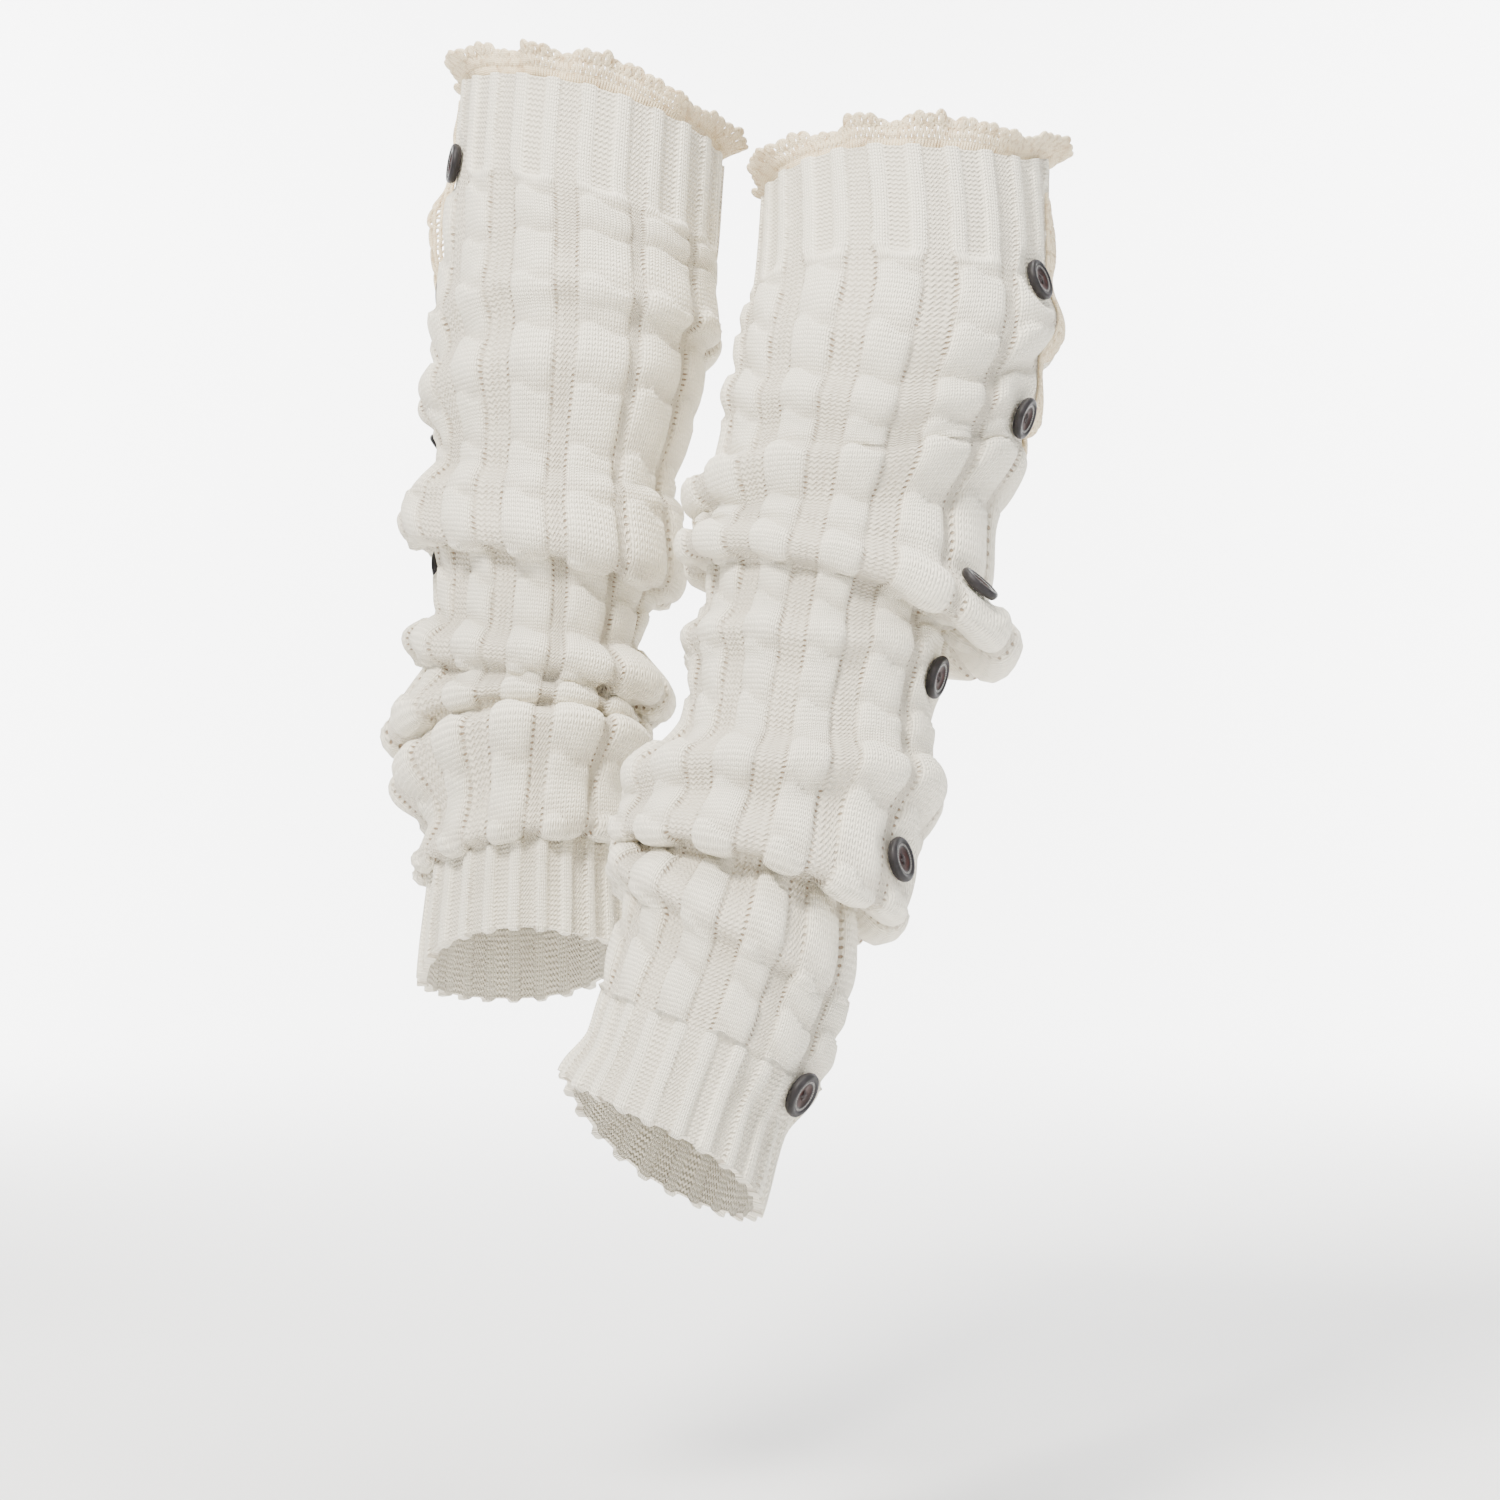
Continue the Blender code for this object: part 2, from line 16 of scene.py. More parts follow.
import bpy
import numpy as np
from bpy.props import FloatProperty, FloatVectorProperty, IntProperty, PointerProperty
from bpy.types import Operator, Panel, PropertyGroup
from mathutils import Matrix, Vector


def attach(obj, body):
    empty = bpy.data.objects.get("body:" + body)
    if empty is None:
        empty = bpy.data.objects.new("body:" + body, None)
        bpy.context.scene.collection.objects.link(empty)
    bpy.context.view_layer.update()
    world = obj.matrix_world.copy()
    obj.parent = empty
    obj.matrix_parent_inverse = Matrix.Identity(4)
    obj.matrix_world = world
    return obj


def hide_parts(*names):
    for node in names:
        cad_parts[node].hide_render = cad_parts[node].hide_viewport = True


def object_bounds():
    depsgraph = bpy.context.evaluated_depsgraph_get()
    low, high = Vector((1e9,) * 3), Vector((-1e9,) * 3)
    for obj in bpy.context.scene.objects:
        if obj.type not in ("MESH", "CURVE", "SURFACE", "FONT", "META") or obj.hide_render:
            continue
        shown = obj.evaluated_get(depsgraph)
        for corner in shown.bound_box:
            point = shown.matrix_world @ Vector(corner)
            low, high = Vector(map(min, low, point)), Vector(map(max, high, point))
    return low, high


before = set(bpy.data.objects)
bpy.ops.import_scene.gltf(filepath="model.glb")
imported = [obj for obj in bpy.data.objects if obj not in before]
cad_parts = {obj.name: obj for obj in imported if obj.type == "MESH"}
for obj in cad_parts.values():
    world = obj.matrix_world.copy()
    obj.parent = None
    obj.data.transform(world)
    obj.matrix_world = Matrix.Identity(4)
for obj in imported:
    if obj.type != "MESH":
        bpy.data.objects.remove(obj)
CAD_BOX = [list(corner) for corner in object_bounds()]

bl_info = {
    "name": "Knitted Boot Cuffs",
    "version": (1, 0, 0),
    "blender": (4, 5, 0),
    "location": "3D View > Sidebar > Boot Cuffs",
    "description": "Builds a pair of slouched cable-knit boot cuffs with lace and buttons",
    "category": "Add Mesh",
}

MM = 0.001
SWING_TO_TANGENT = 27 / 4  # a cubic's tangent for each unit that it swings past its end
COMPASS = (-90, -45, 0, 45, 90, 180)  # left, front left, front, front right, right, back
QUARTERS = (-90, 0, 90, 180)  # left, front, right, back
BUTTON_RADIUS = 9.0
BUTTON_THICK = 4.2
# how far from a button and from a lace strip the knitting starts to rise, and stands in full
BUTTON_ROOM = (10.5, 17)
STRIP_ROOM = (3.5, 9)
INNER_ROWS = 4  # rows of the outer face to one of the inner
LACE_WALL = 1.2
SEAM_GAP = 0.3
BAND_FACETS = 20  # of the solids that carry the lace
LACE_HEIGHT = 20.0
LACE_TUCK = 4.0
CORD_SHARES = {"edge": 1.05, "post": 0.80, "arch": 1.15}  # of the cord's thickness
LACE_WAVES = 10
# up the ruffle: height over the top edge, lean outwards and size of the waves
LACE_LINES = ((-LACE_TUCK, 0, 0), (0.6, 0, 0), (9, 3.2, 1.8), (LACE_HEIGHT - LACE_TUCK, 7, 4.2))
STRIP_WIDTH = 21.0
STRIP_CLEAR = 0.8
# flat sizes of the top band, leg and ankle band: round the leg and down it, in metres
KNIT_FLATS = {
    "left": ((0.385, 0.046), (0.345, 0.372), (0.268, 0.044)),
    "right": ((0.405, 0.055), (0.372, 0.436), (0.278, 0.045)),
}
FLOP_AT = (-80.0, 84.0)  # angles where the ruffle falls over outwards

# the studio, in metres and watts
CAMERA_AT = (0.0022, -1.30, -0.2723)
SENSOR = 36.0
WORLD_SHARE = 0.72
AIM = (0, -0.08, -0.2)
Lamp = namedtuple("Lamp", "name spot goal size power colour")
LAMPS = (
    Lamp("key", (-0.75, -1.15, 1.25), AIM, 0.5, 72.0, (1.0, 0.965, 0.90)),
    Lamp("fill", (1.3, -1.3, 0.2), AIM, 1.2, 9.0, (0.93, 0.97, 1.0)),
    Lamp("top", (0.2, -0.1, 1.5), AIM, 0.7, 30.0, (1.0, 0.99, 0.96)),
    Lamp("backdrop_left", (-1.8, 1.6, 0.8), (-0.72, 3.4, 0.4), 1.6, 210.0, (1.0, 1.0, 1.0)),
    Lamp("backdrop_right", (1.8, 1.6, 0.8), (0.72, 3.4, 0.4), 1.6, 210.0, (1.0, 1.0, 1.0)),
)

REPEATS = 12  # cable columns round a cuff
WALES = 15  # stitches round in one repeat: five purl, then ten of cable or rib
PURL_HALF = 2.5  # wales from the middle of a purl valley to its edge
RIB_SHARE = 4.3  # degrees from the middle of a valley to its edge in the ribbed bands

Core = namedtuple("Core", "station x y z half_width")
Ring = namedtuple(
    "Ring",
    "name left front_left front front_right right back "
    "out_left out_front out_right out_back fold",
)
Button = namedtuple("Button", "row angle")
# The rows and angles that a lace strip's sewn edge runs between, and how many degrees its free
# edge flares from the cloth at the start, the middle and the end.
Strip = namedtuple("Strip", "first last first_angle last_angle flares")

LEFT_CORE = (
    Core(0, -72, 20, 19, 60),
    Core(66, -77, 3, -45, 60),
    Core(140, -82, -17, -115, 56),
    Core(207, -87, -35, -179, 48),
    Core(267, -91, -52, -237, 43),
    Core(331, -93, -70, -298, 40),
    Core(398, -92, -90, -362, 42),
)
LEFT_RINGS = (
    Ring("top_edge", -8, 3, 14, 20, 18, -2, -1.5, 0, 2, 0, 0),
    Ring("band_end", 34, 50, 62, 68, 64, 44, -3, 0, 2.5, 0, 0),
    Ring("knee_top", 94, 92, 90, 90, 83, 92, -1.5, 0, 3, 1, 0),
    Ring("knee_crest", 112, 110, 110, 111, 103, 110, 2.5, 4, 9, 4, 0.3),
    Ring("knee_crease", 131, 125, 122, 120, 112, 126, -2, 0, 2, 0, 0),
    Ring("calf_crest", 147, 148, 147, 141, 132, 146, 6.5, 4, 3, 4, 0.1),
    Ring("calf_crease", 164, 170, 171, 165, 158, 164, -3, 0, 1, 0, 0),
    Ring("lip_top", 177, 186, 192, 191, 184, 178, -1, 1, 0, 1, 0),
    Ring("lip_shelf", 193, 203, 206, 202, 195, 192, 14, 6, 8, 7, 0),
    Ring("lip_crest", 203, 219, 227, 229, 225, 200, 17, 11, 13, 9, 0.5),
    Ring("lip_crease", 211, 227, 233, 235, 231, 214, 0, 0, 0, 0, 0.3),
    Ring("swag_top", 242, 254, 260, 260, 252, 248, -1, 2, -3, 0, 0),
    Ring("swag_crest", 257, 270, 276, 279, 280, 266, 13, 8, 17, 9, 0.4),
    Ring("swag_crease", 267, 279, 284, 286, 287, 277, 2, 1, 1, 0, 0.2),
    Ring("wedge_crest", 298, 293, 291, 292, 296, 298, 21, 6, 8, 7, 0.3),
    Ring("wedge_crease", 308, 300, 296, 297, 302, 308, 5, 2, 4, 1, 0.2),
    Ring("roll_crest", 322, 313, 306, 305, 313, 322, 18, 14, 17, 10, 0.1),
    Ring("roll_crease", 344, 338, 332, 330, 328, 334, 0, 6, 4, 2, 0),
    Ring("ankle_crest", 356, 354, 350, 345, 342, 346, 7, 8, 9, 5, 0.4),
    Ring("band_start", 361, 360, 356, 351, 348, 354, 0, 0, 0, 0, 0),
    Ring("hem", 406, 396, 393, 395, 394, 404, 2.5, 0, 1, 3, 0),
)
RIGHT_CORE = (
    Core(0, 72, -20, -19, 62),
    Core(61, 68, -45, -75, 63),
    Core(129, 55, -74, -135, 61),
    Core(190, 39, -100, -188, 52),
    Core(244, 28, -124, -235, 47),
    Core(297, 15, -148, -280, 45),
    Core(353, 1, -175, -327, 42),
    Core(406, -12, -201, -372, 43),
    Core(464, -30, -230, -419, 43),
)
RIGHT_RINGS = (
    Ring("top_edge", 13, 23, 25, 14, -11, -12, 0, 0, 0, 0, 0),
    Ring("band_end", 67, 79, 80, 66, 43, 44, -0.5, 0, 0, 0, 0),
    Ring("knee_crest", 92, 115, 120, 101, 67, 78, 1, 3, 7, 3, 0),
    Ring("knee_crease", 112, 136, 141, 120, 84, 98, 0, 0, 1, 0, 0),
    Ring("calf_crest", 129, 151, 156, 134, 103, 118, 3, 4, 3, 3, 0),
    Ring("calf_crease", 146, 164, 167, 147, 118, 136, 0, 1, 1, 0, 0),
    Ring("shin_top", 166, 174, 174, 151, 124, 152, 1, 2, 2, 1, 0),
    Ring("shin_crest", 179, 184, 181, 156, 130, 164, 13, 5, 3, 6, 0.3),
    Ring("shin_crease", 189, 200, 198, 180, 156, 178, 4, 1, 1, 1, 0),
    Ring("lip_top", 195, 208, 211, 205, 196, 184, 7, 4, 12, 4, 0),
    Ring("lip_crest", 204, 219, 225, 225, 217, 192, 14, 9, 31, 8, 0.5),
    Ring("lip_crease", 213, 227, 232, 231, 221, 203, -2, 0, 0, 0, 0.3),
    Ring("girdle_top", 238, 246, 250, 240, 228, 234, -1, 1, 2, 0, 0),
    Ring("girdle_crest", 250, 260, 263, 251, 238, 246, 6, 5, 5, 4, 0.2),
    Ring("girdle_crease", 264, 272, 276, 266, 252, 262, -2, 0, 4, 0, 0),
    Ring("pouch_top", 287, 301, 303, 290, 275, 288, -4, 0, 9, 0, 0),
    Ring("pouch_crest", 319, 326, 324, 309, 294, 310, 15, 11, 19, 9, 0.1),
    Ring("pouch_crease", 331, 338, 337, 327, 318, 322, 12, 6, 15, 5, 0),
    Ring("swag_crest", 340, 353, 358, 358, 345, 338, 15, 14, 20, 9.5, 0.45),
    Ring("swag_crease", 346, 359, 364, 361, 351, 344, 3, 0, 0, 0, 0.3),
    Ring("sash_crest", 355, 377, 393, 396, 385, 356, 13, 8, 5, 2, 0.3),
    Ring("sash_crease", 367, 387, 402, 405, 396, 372, 0, 0, 4, 0, 0),
    Ring("band_start", 412, 427, 436, 437, 425, 414, -2, 1, 3.5, 0, 0),
    Ring("band_waist", 430, 446, 456, 455, 447, 438, -3, 0, -3, -1, 0),
    Ring("hem", 449, 466, 476, 478, 477, 464, 2, 1, -1, 2, 0),
)
LEFT_BUTTONS = (
    Button(0.95, -72),
    Button(1.9, -98),
    Button(5.6, -112),
    Button(10.3, -105),
    Button(13.5, -118),
    Button(19.4, -116),
)
RIGHT_BUTTONS = (
    Button(1.22, 63),
    Button(4.6, 70),
    Button(9.55, 62),
    Button(13.55, 77),
    Button(17.5, 69),
    Button(22.25, 71),
)

# How the knitting lies on a cuff: the angle of the middle of one purl valley at row numbers down
# the ring table, and how many degrees a valley is open to each side of its middle at angles round
# the leg, where the legs stretch or close it.
Lay = namedtuple("Lay", "phase open_at open_by")
LEFT_LAY = Lay(
    ((0, -3), (0.8, -2), (1.5, 1), (4.4, 5), (8.2, 7), (10.5, 15), (11.5, 15), (16.8, 9), (20, 4)),
    (-90, -30, 0, 30, 60, 120, 180),
    (6.0, 7.0, 4.5, 2.2, 1.8, 3.5, 5.0),
)
RIGHT_LAY = Lay(
    ((0, 8), (1.4, 17), (7.5, 21), (11.6, 22), (14.3, 27), (15.2, 31), (19, 34), (24, 36)),
    (-90, -30, 0, 25, 48, 90, 180),
    (4.5, 6.0, 6.0, 6.5, 2.0, 2.0, 5.0),
)

Cuff = namedtuple("Cuff", "name core rings buttons strip lay")
CUFFS = (
    Cuff(
        "left", LEFT_CORE, LEFT_RINGS, LEFT_BUTTONS, Strip(0.1, 2.7, -88, -119, (4, 73, 2)),
        LEFT_LAY,
    ),
    Cuff(
        "right", RIGHT_CORE, RIGHT_RINGS, RIGHT_BUTTONS, Strip(0.3, 5.4, 76, 84, (2, 4, 2)),
        RIGHT_LAY,
    ),
)


def metres(name, description, default, low, high):
    """A length among the settings."""
    return FloatProperty(
        name=name, description=description, default=default, min=low, max=high, unit="LENGTH"
    )


def number_of(name, description, default, low, high):
    """A whole number among the settings."""
    return IntProperty(name=name, description=description, default=default, min=low, max=high)


def tint(name, description, default):
    """A colour among the settings."""
    return FloatVectorProperty(
        name=name, description=description, subtype="COLOR", default=default, min=0, max=1, size=3
    )


class KnitSettings(PropertyGroup):
    """Sizes and colour of the knitting."""

    wall: metres("Wall", "Thickness of the knitted cloth under its cables", 0.0024, 0.001, 0.004)
    cable_height: metres(
        "Cable height", "How far a cable stands out of the purl valleys", 0.0038, 0, 0.006
    )
    rib_height: metres("Rib height", "How far a rib stands out of the cloth", 0.0021, 0, 0.004)
    cable_length: metres(
        "Cable length", "Length of cloth from one cable crossing to the next", 0.024, 0.01, 0.06
    )
    course: metres("Course", "Length of one stitch down the cloth", 0.0024, 0.001, 0.005)
    columns: number_of("Columns", "Faces round a cuff", 300, 60, 360)
    colour: tint("Yarn", "Colour of the knitted yarn", (0.95, 0.885, 0.725))
    # painted shade: mixed into the yarn in low stitches, creases, holes and the inner face
    painted_shade_colour: tint(
        "Between stitches", "Colour deep between two stitches", (0.25, 0.175, 0.105)
    )


class LaceSettings(PropertyGroup):
    """Sizes and colour of the crocheted lace."""

    repeats: number_of("Shells", "Crocheted shells round the top edge", 40, 8, 80)
    strip_repeats: number_of("Strip shells", "Crocheted shells down the side strip", 9, 2, 30)
    cord: metres("Cord", "Thickness of the crochet cord", 0.0017, 0.0005, 0.003)
    colour: tint("Cord colour", "Colour of the crochet cord", (0.88, 0.755, 0.53))


class ButtonSettings(PropertyGroup):
    """Shape and colours of the buttons."""

    sides: number_of("Sides", "Faces round a button", 48, 12, 96)
    rim_colour: tint("Rim", "Colour of the raised rim", (0.014, 0.0125, 0.0135))
    dish_colour: tint("Dish", "Colour of the hollow middle", (0.036, 0.013, 0.011))
    inlay_colour: tint("Inlay", "Colour of the dashes inside the rim", (0.20, 0.19, 0.18))


class StageSettings(PropertyGroup):
    """The floor, the lights and the camera."""

    floor_drop: metres("Floor drop", "From the lowest hem down to the floor", 0.16, 0, 1)
    floor_colour: tint("Floor", "Colour of the floor and backdrop", (0.93, 0.93, 0.93))
    lens: FloatProperty(
        name="Lens", description="Focal length in millimetres", default=68.64, min=10, max=200
    )
    light: FloatProperty(
        name="Light", description="Strength of the studio lights", default=1.2, min=0, max=10
    )


def around(knots, values, degrees):
    """A smooth closed curve through a value at each compass point, flat at its highs and lows."""
    at = np.array([*knots, knots[0] + 360], float)
    value = np.array([*values, values[0]], float)
    slope = np.diff(value) / np.diff(at)
    before = np.roll(slope, 1)
    same_way = before * slope > 0
    tangent = np.where(same_way, 2 * before * slope / np.where(same_way, before + slope, 1), 0)
    tangent = np.append(tangent, tangent[0])
    angle = (np.asarray(degrees, float) - at[0]) % 360 + at[0]
    i = np.clip(np.searchsorted(at, angle, "right") - 1, 0, len(knots) - 1)
    step = at[i + 1] - at[i]
    return hermite(
        value[i], value[i + 1], tangent[i] * step, tangent[i + 1] * step, (angle - at[i]) / step
    )


def hermite(a, b, leave, arrive, t):
    """The cubic from a to b that leaves and arrives at the given rates."""
    return (
        a * (2 * t**3 - 3 * t**2 + 1)
        + leave * (t**3 - 2 * t**2 + t)
        + b * (3 * t**2 - 2 * t**3)
        + arrive * (t**3 - t**2)
    )


def core_at(core, stations):
    """Centre, half width and frame (down, side, front) of the worn tube at each station."""
    table = np.array(core, float)
    known, values = table[:, 0], table[:, 1:]
    tangent = np.gradient(values, known, axis=0)
    s = np.asarray(stations, float)
    i = np.clip(np.searchsorted(known, s, "right") - 1, 0, len(known) - 2)
    step = (known[i + 1] - known[i])[..., None]
    t = ((s - known[i])[..., None]) / step
    inside = np.clip(t, 0, 1)
    value = hermite(values[i], values[i + 1], tangent[i] * step, tangent[i + 1] * step, inside)
    value = value + np.where(t > 1, tangent[i + 1], tangent[i]) * (t - inside) * step
    down = tangent[i, :3] * (1 - inside) + tangent[i + 1, :3] * inside
    down = unit(down)
    side = unit(np.array([1.0, 0, 0]) - down[..., :1] * down)
    return value[..., :3], value[..., 3], down, side, np.cross(down, side)


def unit(vectors):
    """The vectors at length 1."""
    return vectors / np.linalg.norm(vectors, axis=-1, keepdims=True)


def ring_lines(cuff, degrees):
    """Station, bulge, hang of each crest and tuck of each crease, for every row and angle."""
    stations = np.array([around(COMPASS, row[1:7], degrees) for row in cuff.rings])
    outs = np.array([around(QUARTERS, row[7:11], degrees) for row in cuff.rings])
    fold = np.array([row.fold for row in cuff.rings])[:, None]
    crease = np.array([row.name.endswith("crease") for row in cuff.rings])[:, None]
    hang = np.where(crease, 0, fold * np.maximum(outs, 0))
    tuck = np.where(crease, fold * np.maximum(np.roll(outs, 1, 0), 0), 0)
    return stations, outs, hang, tuck


def profile(cuff, rows, degrees):
    """Station and radius of the cloth's outer face at row numbers (may be fractions) and angles."""
    rows, degrees = np.broadcast_arrays(np.asarray(rows, float), np.asarray(degrees, float))
    stations, outs, hang, tuck = ring_lines(cuff, degrees.ravel())
    count = len(cuff.rings)
    i = np.clip(np.floor(rows.ravel()).astype(int), 0, count - 2)
    t = rows.ravel() - i
    column = np.arange(len(i))
    rate = np.gradient(stations, axis=0)

    def pick(table, row):
        return table[row, column]

    gap = pick(stations, i + 1) - pick(stations, i)
    room = 2.5 * np.maximum(gap, 0)
    leave = np.maximum(np.minimum(pick(rate, i), room), pick(hang, i) * SWING_TO_TANGENT)
    arrive = np.maximum(np.minimum(pick(rate, i + 1), room), pick(tuck, i + 1) * SWING_TO_TANGENT)
    station = hermite(pick(stations, i), pick(stations, i + 1), leave, arrive, t)
    blend = t * t * (3 - 2 * t)
    out = pick(outs, i) * (1 - blend) + pick(outs, i + 1) * blend
    radius = core_at(cuff.core, station)[1] + out
    return station.reshape(rows.shape), radius.reshape(rows.shape)


def cloth_points(cuff, rows, degrees):
    """Points of the cloth's outer face, as an array over rows and angles."""
    station, radius = profile(cuff, rows, degrees)
    centre, _, _, side, front = core_at(cuff.core, station)
    angle = np.radians(np.broadcast_to(degrees, station.shape))[..., None]
    return centre + radius[..., None] * (np.sin(angle) * side + np.cos(angle) * front)


def cloth_frame(cuff, row, degrees, step=0.02, turn=1.0):
    """A point on the outer face, its outward normal and the direction down the cloth."""
    here = cloth_points(cuff, row, degrees)
    down = cloth_points(cuff, row + step, degrees) - cloth_points(cuff, row - step, degrees)
    across = cloth_points(cuff, row, degrees + turn) - cloth_points(cuff, row, degrees - turn)
    normal = unit(np.cross(across, down))
    return here, -normal, unit(down)


def smoothstep(low, high, value):
    """0 up to low, 1 from high, and a cubic that is flat at both between them."""
    t = np.clip((np.asarray(value, float) - low) / (high - low), 0, 1)
    return t * t * (3 - 2 * t)


def soft_noise(u, v, cells, seed):
    """Random values at the corners of a grid, blended smoothly between them; u wraps at 1."""
    lattice = np.random.default_rng(seed).uniform(-1, 1, (64, cells))
    x, y = np.asarray(u) * cells, np.asarray(v)
    i, j = np.floor(x).astype(int), np.floor(y).astype(int)
    a, b = smoothstep(0, 1, x - i), smoothstep(0, 1, y - j)
    top = lattice[j % 64, i % cells] * (1 - a) + lattice[j % 64, (i + 1) % cells] * a
    low = lattice[(j + 1) % 64, i % cells] * (1 - a) + lattice[(j + 1) % 64, (i + 1) % cells] * a
    return top * (1 - b) + low * b


# --- knitting -------------------------------------------------------------------------------


def length_down(cuff, rows, angles):
    """Length of cloth from the first row down to each, averaged round the leg."""
    points = cloth_points(cuff, rows[:, None], angles[None, :])
    length = np.linalg.norm(np.diff(points, axis=0), axis=-1).mean(1)
    return np.concatenate([[0], np.cumsum(length)])


def wales_at(cuff, rows, angles):
    """Wale of the knitting at each row and angle.

    The angle is measured from the middle of the nearest purl valley, in twelfths of a turn. The
    valley takes five wales over the width it is open there, and the cable the other ten.
    """
    lay = cuff.lay
    phase = np.interp(rows, *zip(*lay.phase))[:, None]
    ribbed = rib_weight(cuff, rows)[:, None]
    opened = np.interp((angles + 180) % 360 - 180, lay.open_at, lay.open_by, period=360)[None, :]
    opened = opened * (1 - ribbed) + RIB_SHARE * ribbed
    step = 360 / REPEATS
    turn = (angles[None, :] - phase) / step
    repeat = np.floor(turn + 0.5)
    off = (turn - repeat) * step
    beyond = PURL_HALF + (WALES / 2 - PURL_HALF) * (np.abs(off) - opened) / (step / 2 - opened)
    inside = PURL_HALF * np.abs(off) / opened
    return repeat * WALES + np.sign(off) * np.where(np.abs(off) < opened, inside, beyond)


def rib_weight(cuff, rows):
    """1 in the two ribbed bands, 0 in the cabled leg."""
    names = [ring.name for ring in cuff.rings]
    top, ankle = names.index("band_end"), names.index("band_start")
    return 1 - smoothstep(top - 0.07, top + 0.10, rows) + smoothstep(ankle - 0.06, ankle, rows)


def strand(across, centre, half):
    """Rounded cross-section of one strand of a cable, 1 at its middle and 0 at its sides."""
    return np.sqrt(np.clip(1 - ((across - centre) / half) ** 2, 0, 1))


def cable_relief(wale, along):
    """Height of a cable from 0 to 1, as a soft block with an overlap at its upper end.

    Each block starts at a crease that waves once across the cable, where the strand in front ends
    in a steep step. Below it the cloth stays full and then sinks slowly towards the next crease,
    and it is a little narrower at both ends. Two shallow grooves part the strands.
    """
    across = (np.mod(wale, WALES) - WALES / 2) / (WALES / 2 - PURL_HALF)
    crease = 0.085 * np.sin(math.pi * across) + 0.03 * across
    t = np.mod(along - crease, 1)
    near = np.minimum(t, 1 - t)
    narrow = 1 - 0.13 * np.exp(-((near / 0.13) ** 2))
    block = np.clip(1 - np.abs(across / narrow) ** 3.0, 0, 1) ** 0.5
    rise = smoothstep(0, 0.09, t)
    sink = 1 - smoothstep(0.48, 1.0, t)
    full = 0.34 + 0.68 * rise * (0.10 + 0.90 * sink)
    groove = np.exp(-(((across - 0.5 * np.sin(math.pi * (t - 0.5))) / 0.16) ** 2))
    return block * (full - 0.10 * groove * smoothstep(0.35, 0.0, near))


def rib_relief(wale):
    """Height of the ribs from 0 to 1: two of three wales each in every repeat."""
    place = np.mod(wale, WALES)
    near = np.minimum(np.abs(place - 4.0), np.abs(place - 11.0))
    return smoothstep(2.1, 0.9, near)


def knit_relief(cuff, rows, wale, course, settings):
    """How far the knitting stands out of the plain cloth in millimetres, and how sunk it is.

    The course is counted from the end of the top band, where the cables start. How sunk it is
    goes from 0 on the tops of cables and ribs to 1 in the creases between blocks, and sets the
    shade that the knit material paints into the yarn's colour.
    """
    ribbed = rib_weight(cuff, rows)[:, None]
    per_cable = settings.cable_length / settings.course
    along = course / per_cable - 0.30
    block, ridge = cable_relief(wale, along), rib_relief(wale)
    cable, rib = block * settings.cable_height / MM, ridge * settings.rib_height / MM
    sunk = np.clip(1 - block / 0.96, 0, 1) * (1 - ribbed) + 0.55 * (1 - ridge) * ribbed
    share = (np.arange(wale.shape[1]) / wale.shape[1])[None, :] + 0 * course
    sag = 0.9 * soft_noise(share, course / 16, 11, 7) + 0.5 * soft_noise(share, course / 7, 23, 8)
    return cable * (1 - ribbed) + rib * ribbed + sag * (1 - ribbed), sunk


def even_rows(cuff, first, last, count, angles):
    """Row numbers from first to last that lie evenly down the cloth, averaged round the leg."""
    fine = np.linspace(first, last, 40 * int(math.ceil(last - first)) + 1)
    down = length_down(cuff, fine, angles)
    return np.interp(np.linspace(0, down[-1], count), down, fine)


def quads(rows, columns):
    """Corner numbers of the faces of a grid that is closed round, with their grid places."""
    i, j = np.meshgrid(np.arange(rows - 1), np.arange(columns), indexing="ij")
    i, j = i.ravel(), j.ravel()
    places = np.stack(
        [np.stack([i + a, j + b], 1) for a, b in ((0, 0), (0, 1), (1, 1), (1, 0))], 1
    )
    return places[..., 0] * columns + places[..., 1] % columns, places


def make_mesh(name, points, faces, uvs=None, masks=None):
    """A mesh of quads or triangles from arrays, with a UV for each corner and point masks."""
    mesh = bpy.data.meshes.new(name)
    points = np.asarray(points, np.float32).reshape(-1, 3) * MM
    faces = np.asarray(faces, np.int32)
    mesh.vertices.add(len(points))
    mesh.vertices.foreach_set("co", points.ravel())
    mesh.loops.add(faces.size)
    mesh.loops.foreach_set("vertex_index", faces.ravel())
    mesh.polygons.add(len(faces))
    mesh.polygons.foreach_set("loop_start", np.arange(len(faces), dtype=np.int32) * faces.shape[1])
    mesh.update(calc_edges=True)
    if uvs is not None:
        layer = mesh.uv_layers.new(name="fabric")
        layer.data.foreach_set("uv", np.asarray(uvs, np.float32).ravel())
    for mask, values in (masks or {}).items():
        attribute = mesh.attributes.new(mask, "FLOAT", "POINT")
        attribute.data.foreach_set("value", np.asarray(values, np.float32).ravel())
    mesh.shade_smooth()
    return mesh


def place(name, mesh, material, nodes, slot):
    """The finished piece: in the scene, riding on the frame and standing for its CAD solid."""
    mesh.materials.append(material)
    piece = bpy.data.objects.new(name, mesh)
    bpy.context.scene.collection.objects.link(piece)
    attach(piece, "root")
    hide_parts(*nodes)
    return piece


def steady_directions(cuff, rows, angles, base):
    """Outward normals and ways down the plain surface, over steps wide enough to skip kinks."""
    count = len(cuff.rings) - 1
    above, below = (
        cloth_points(cuff, np.clip(rows + step, 0, count)[:, None], angles[None, :])
        for step in (-0.04, 0.04)
    )
    across = np.roll(base, -2, 1) - np.roll(base, 2, 1)
    return -unit(np.cross(across, below - above)), unit(below - above)


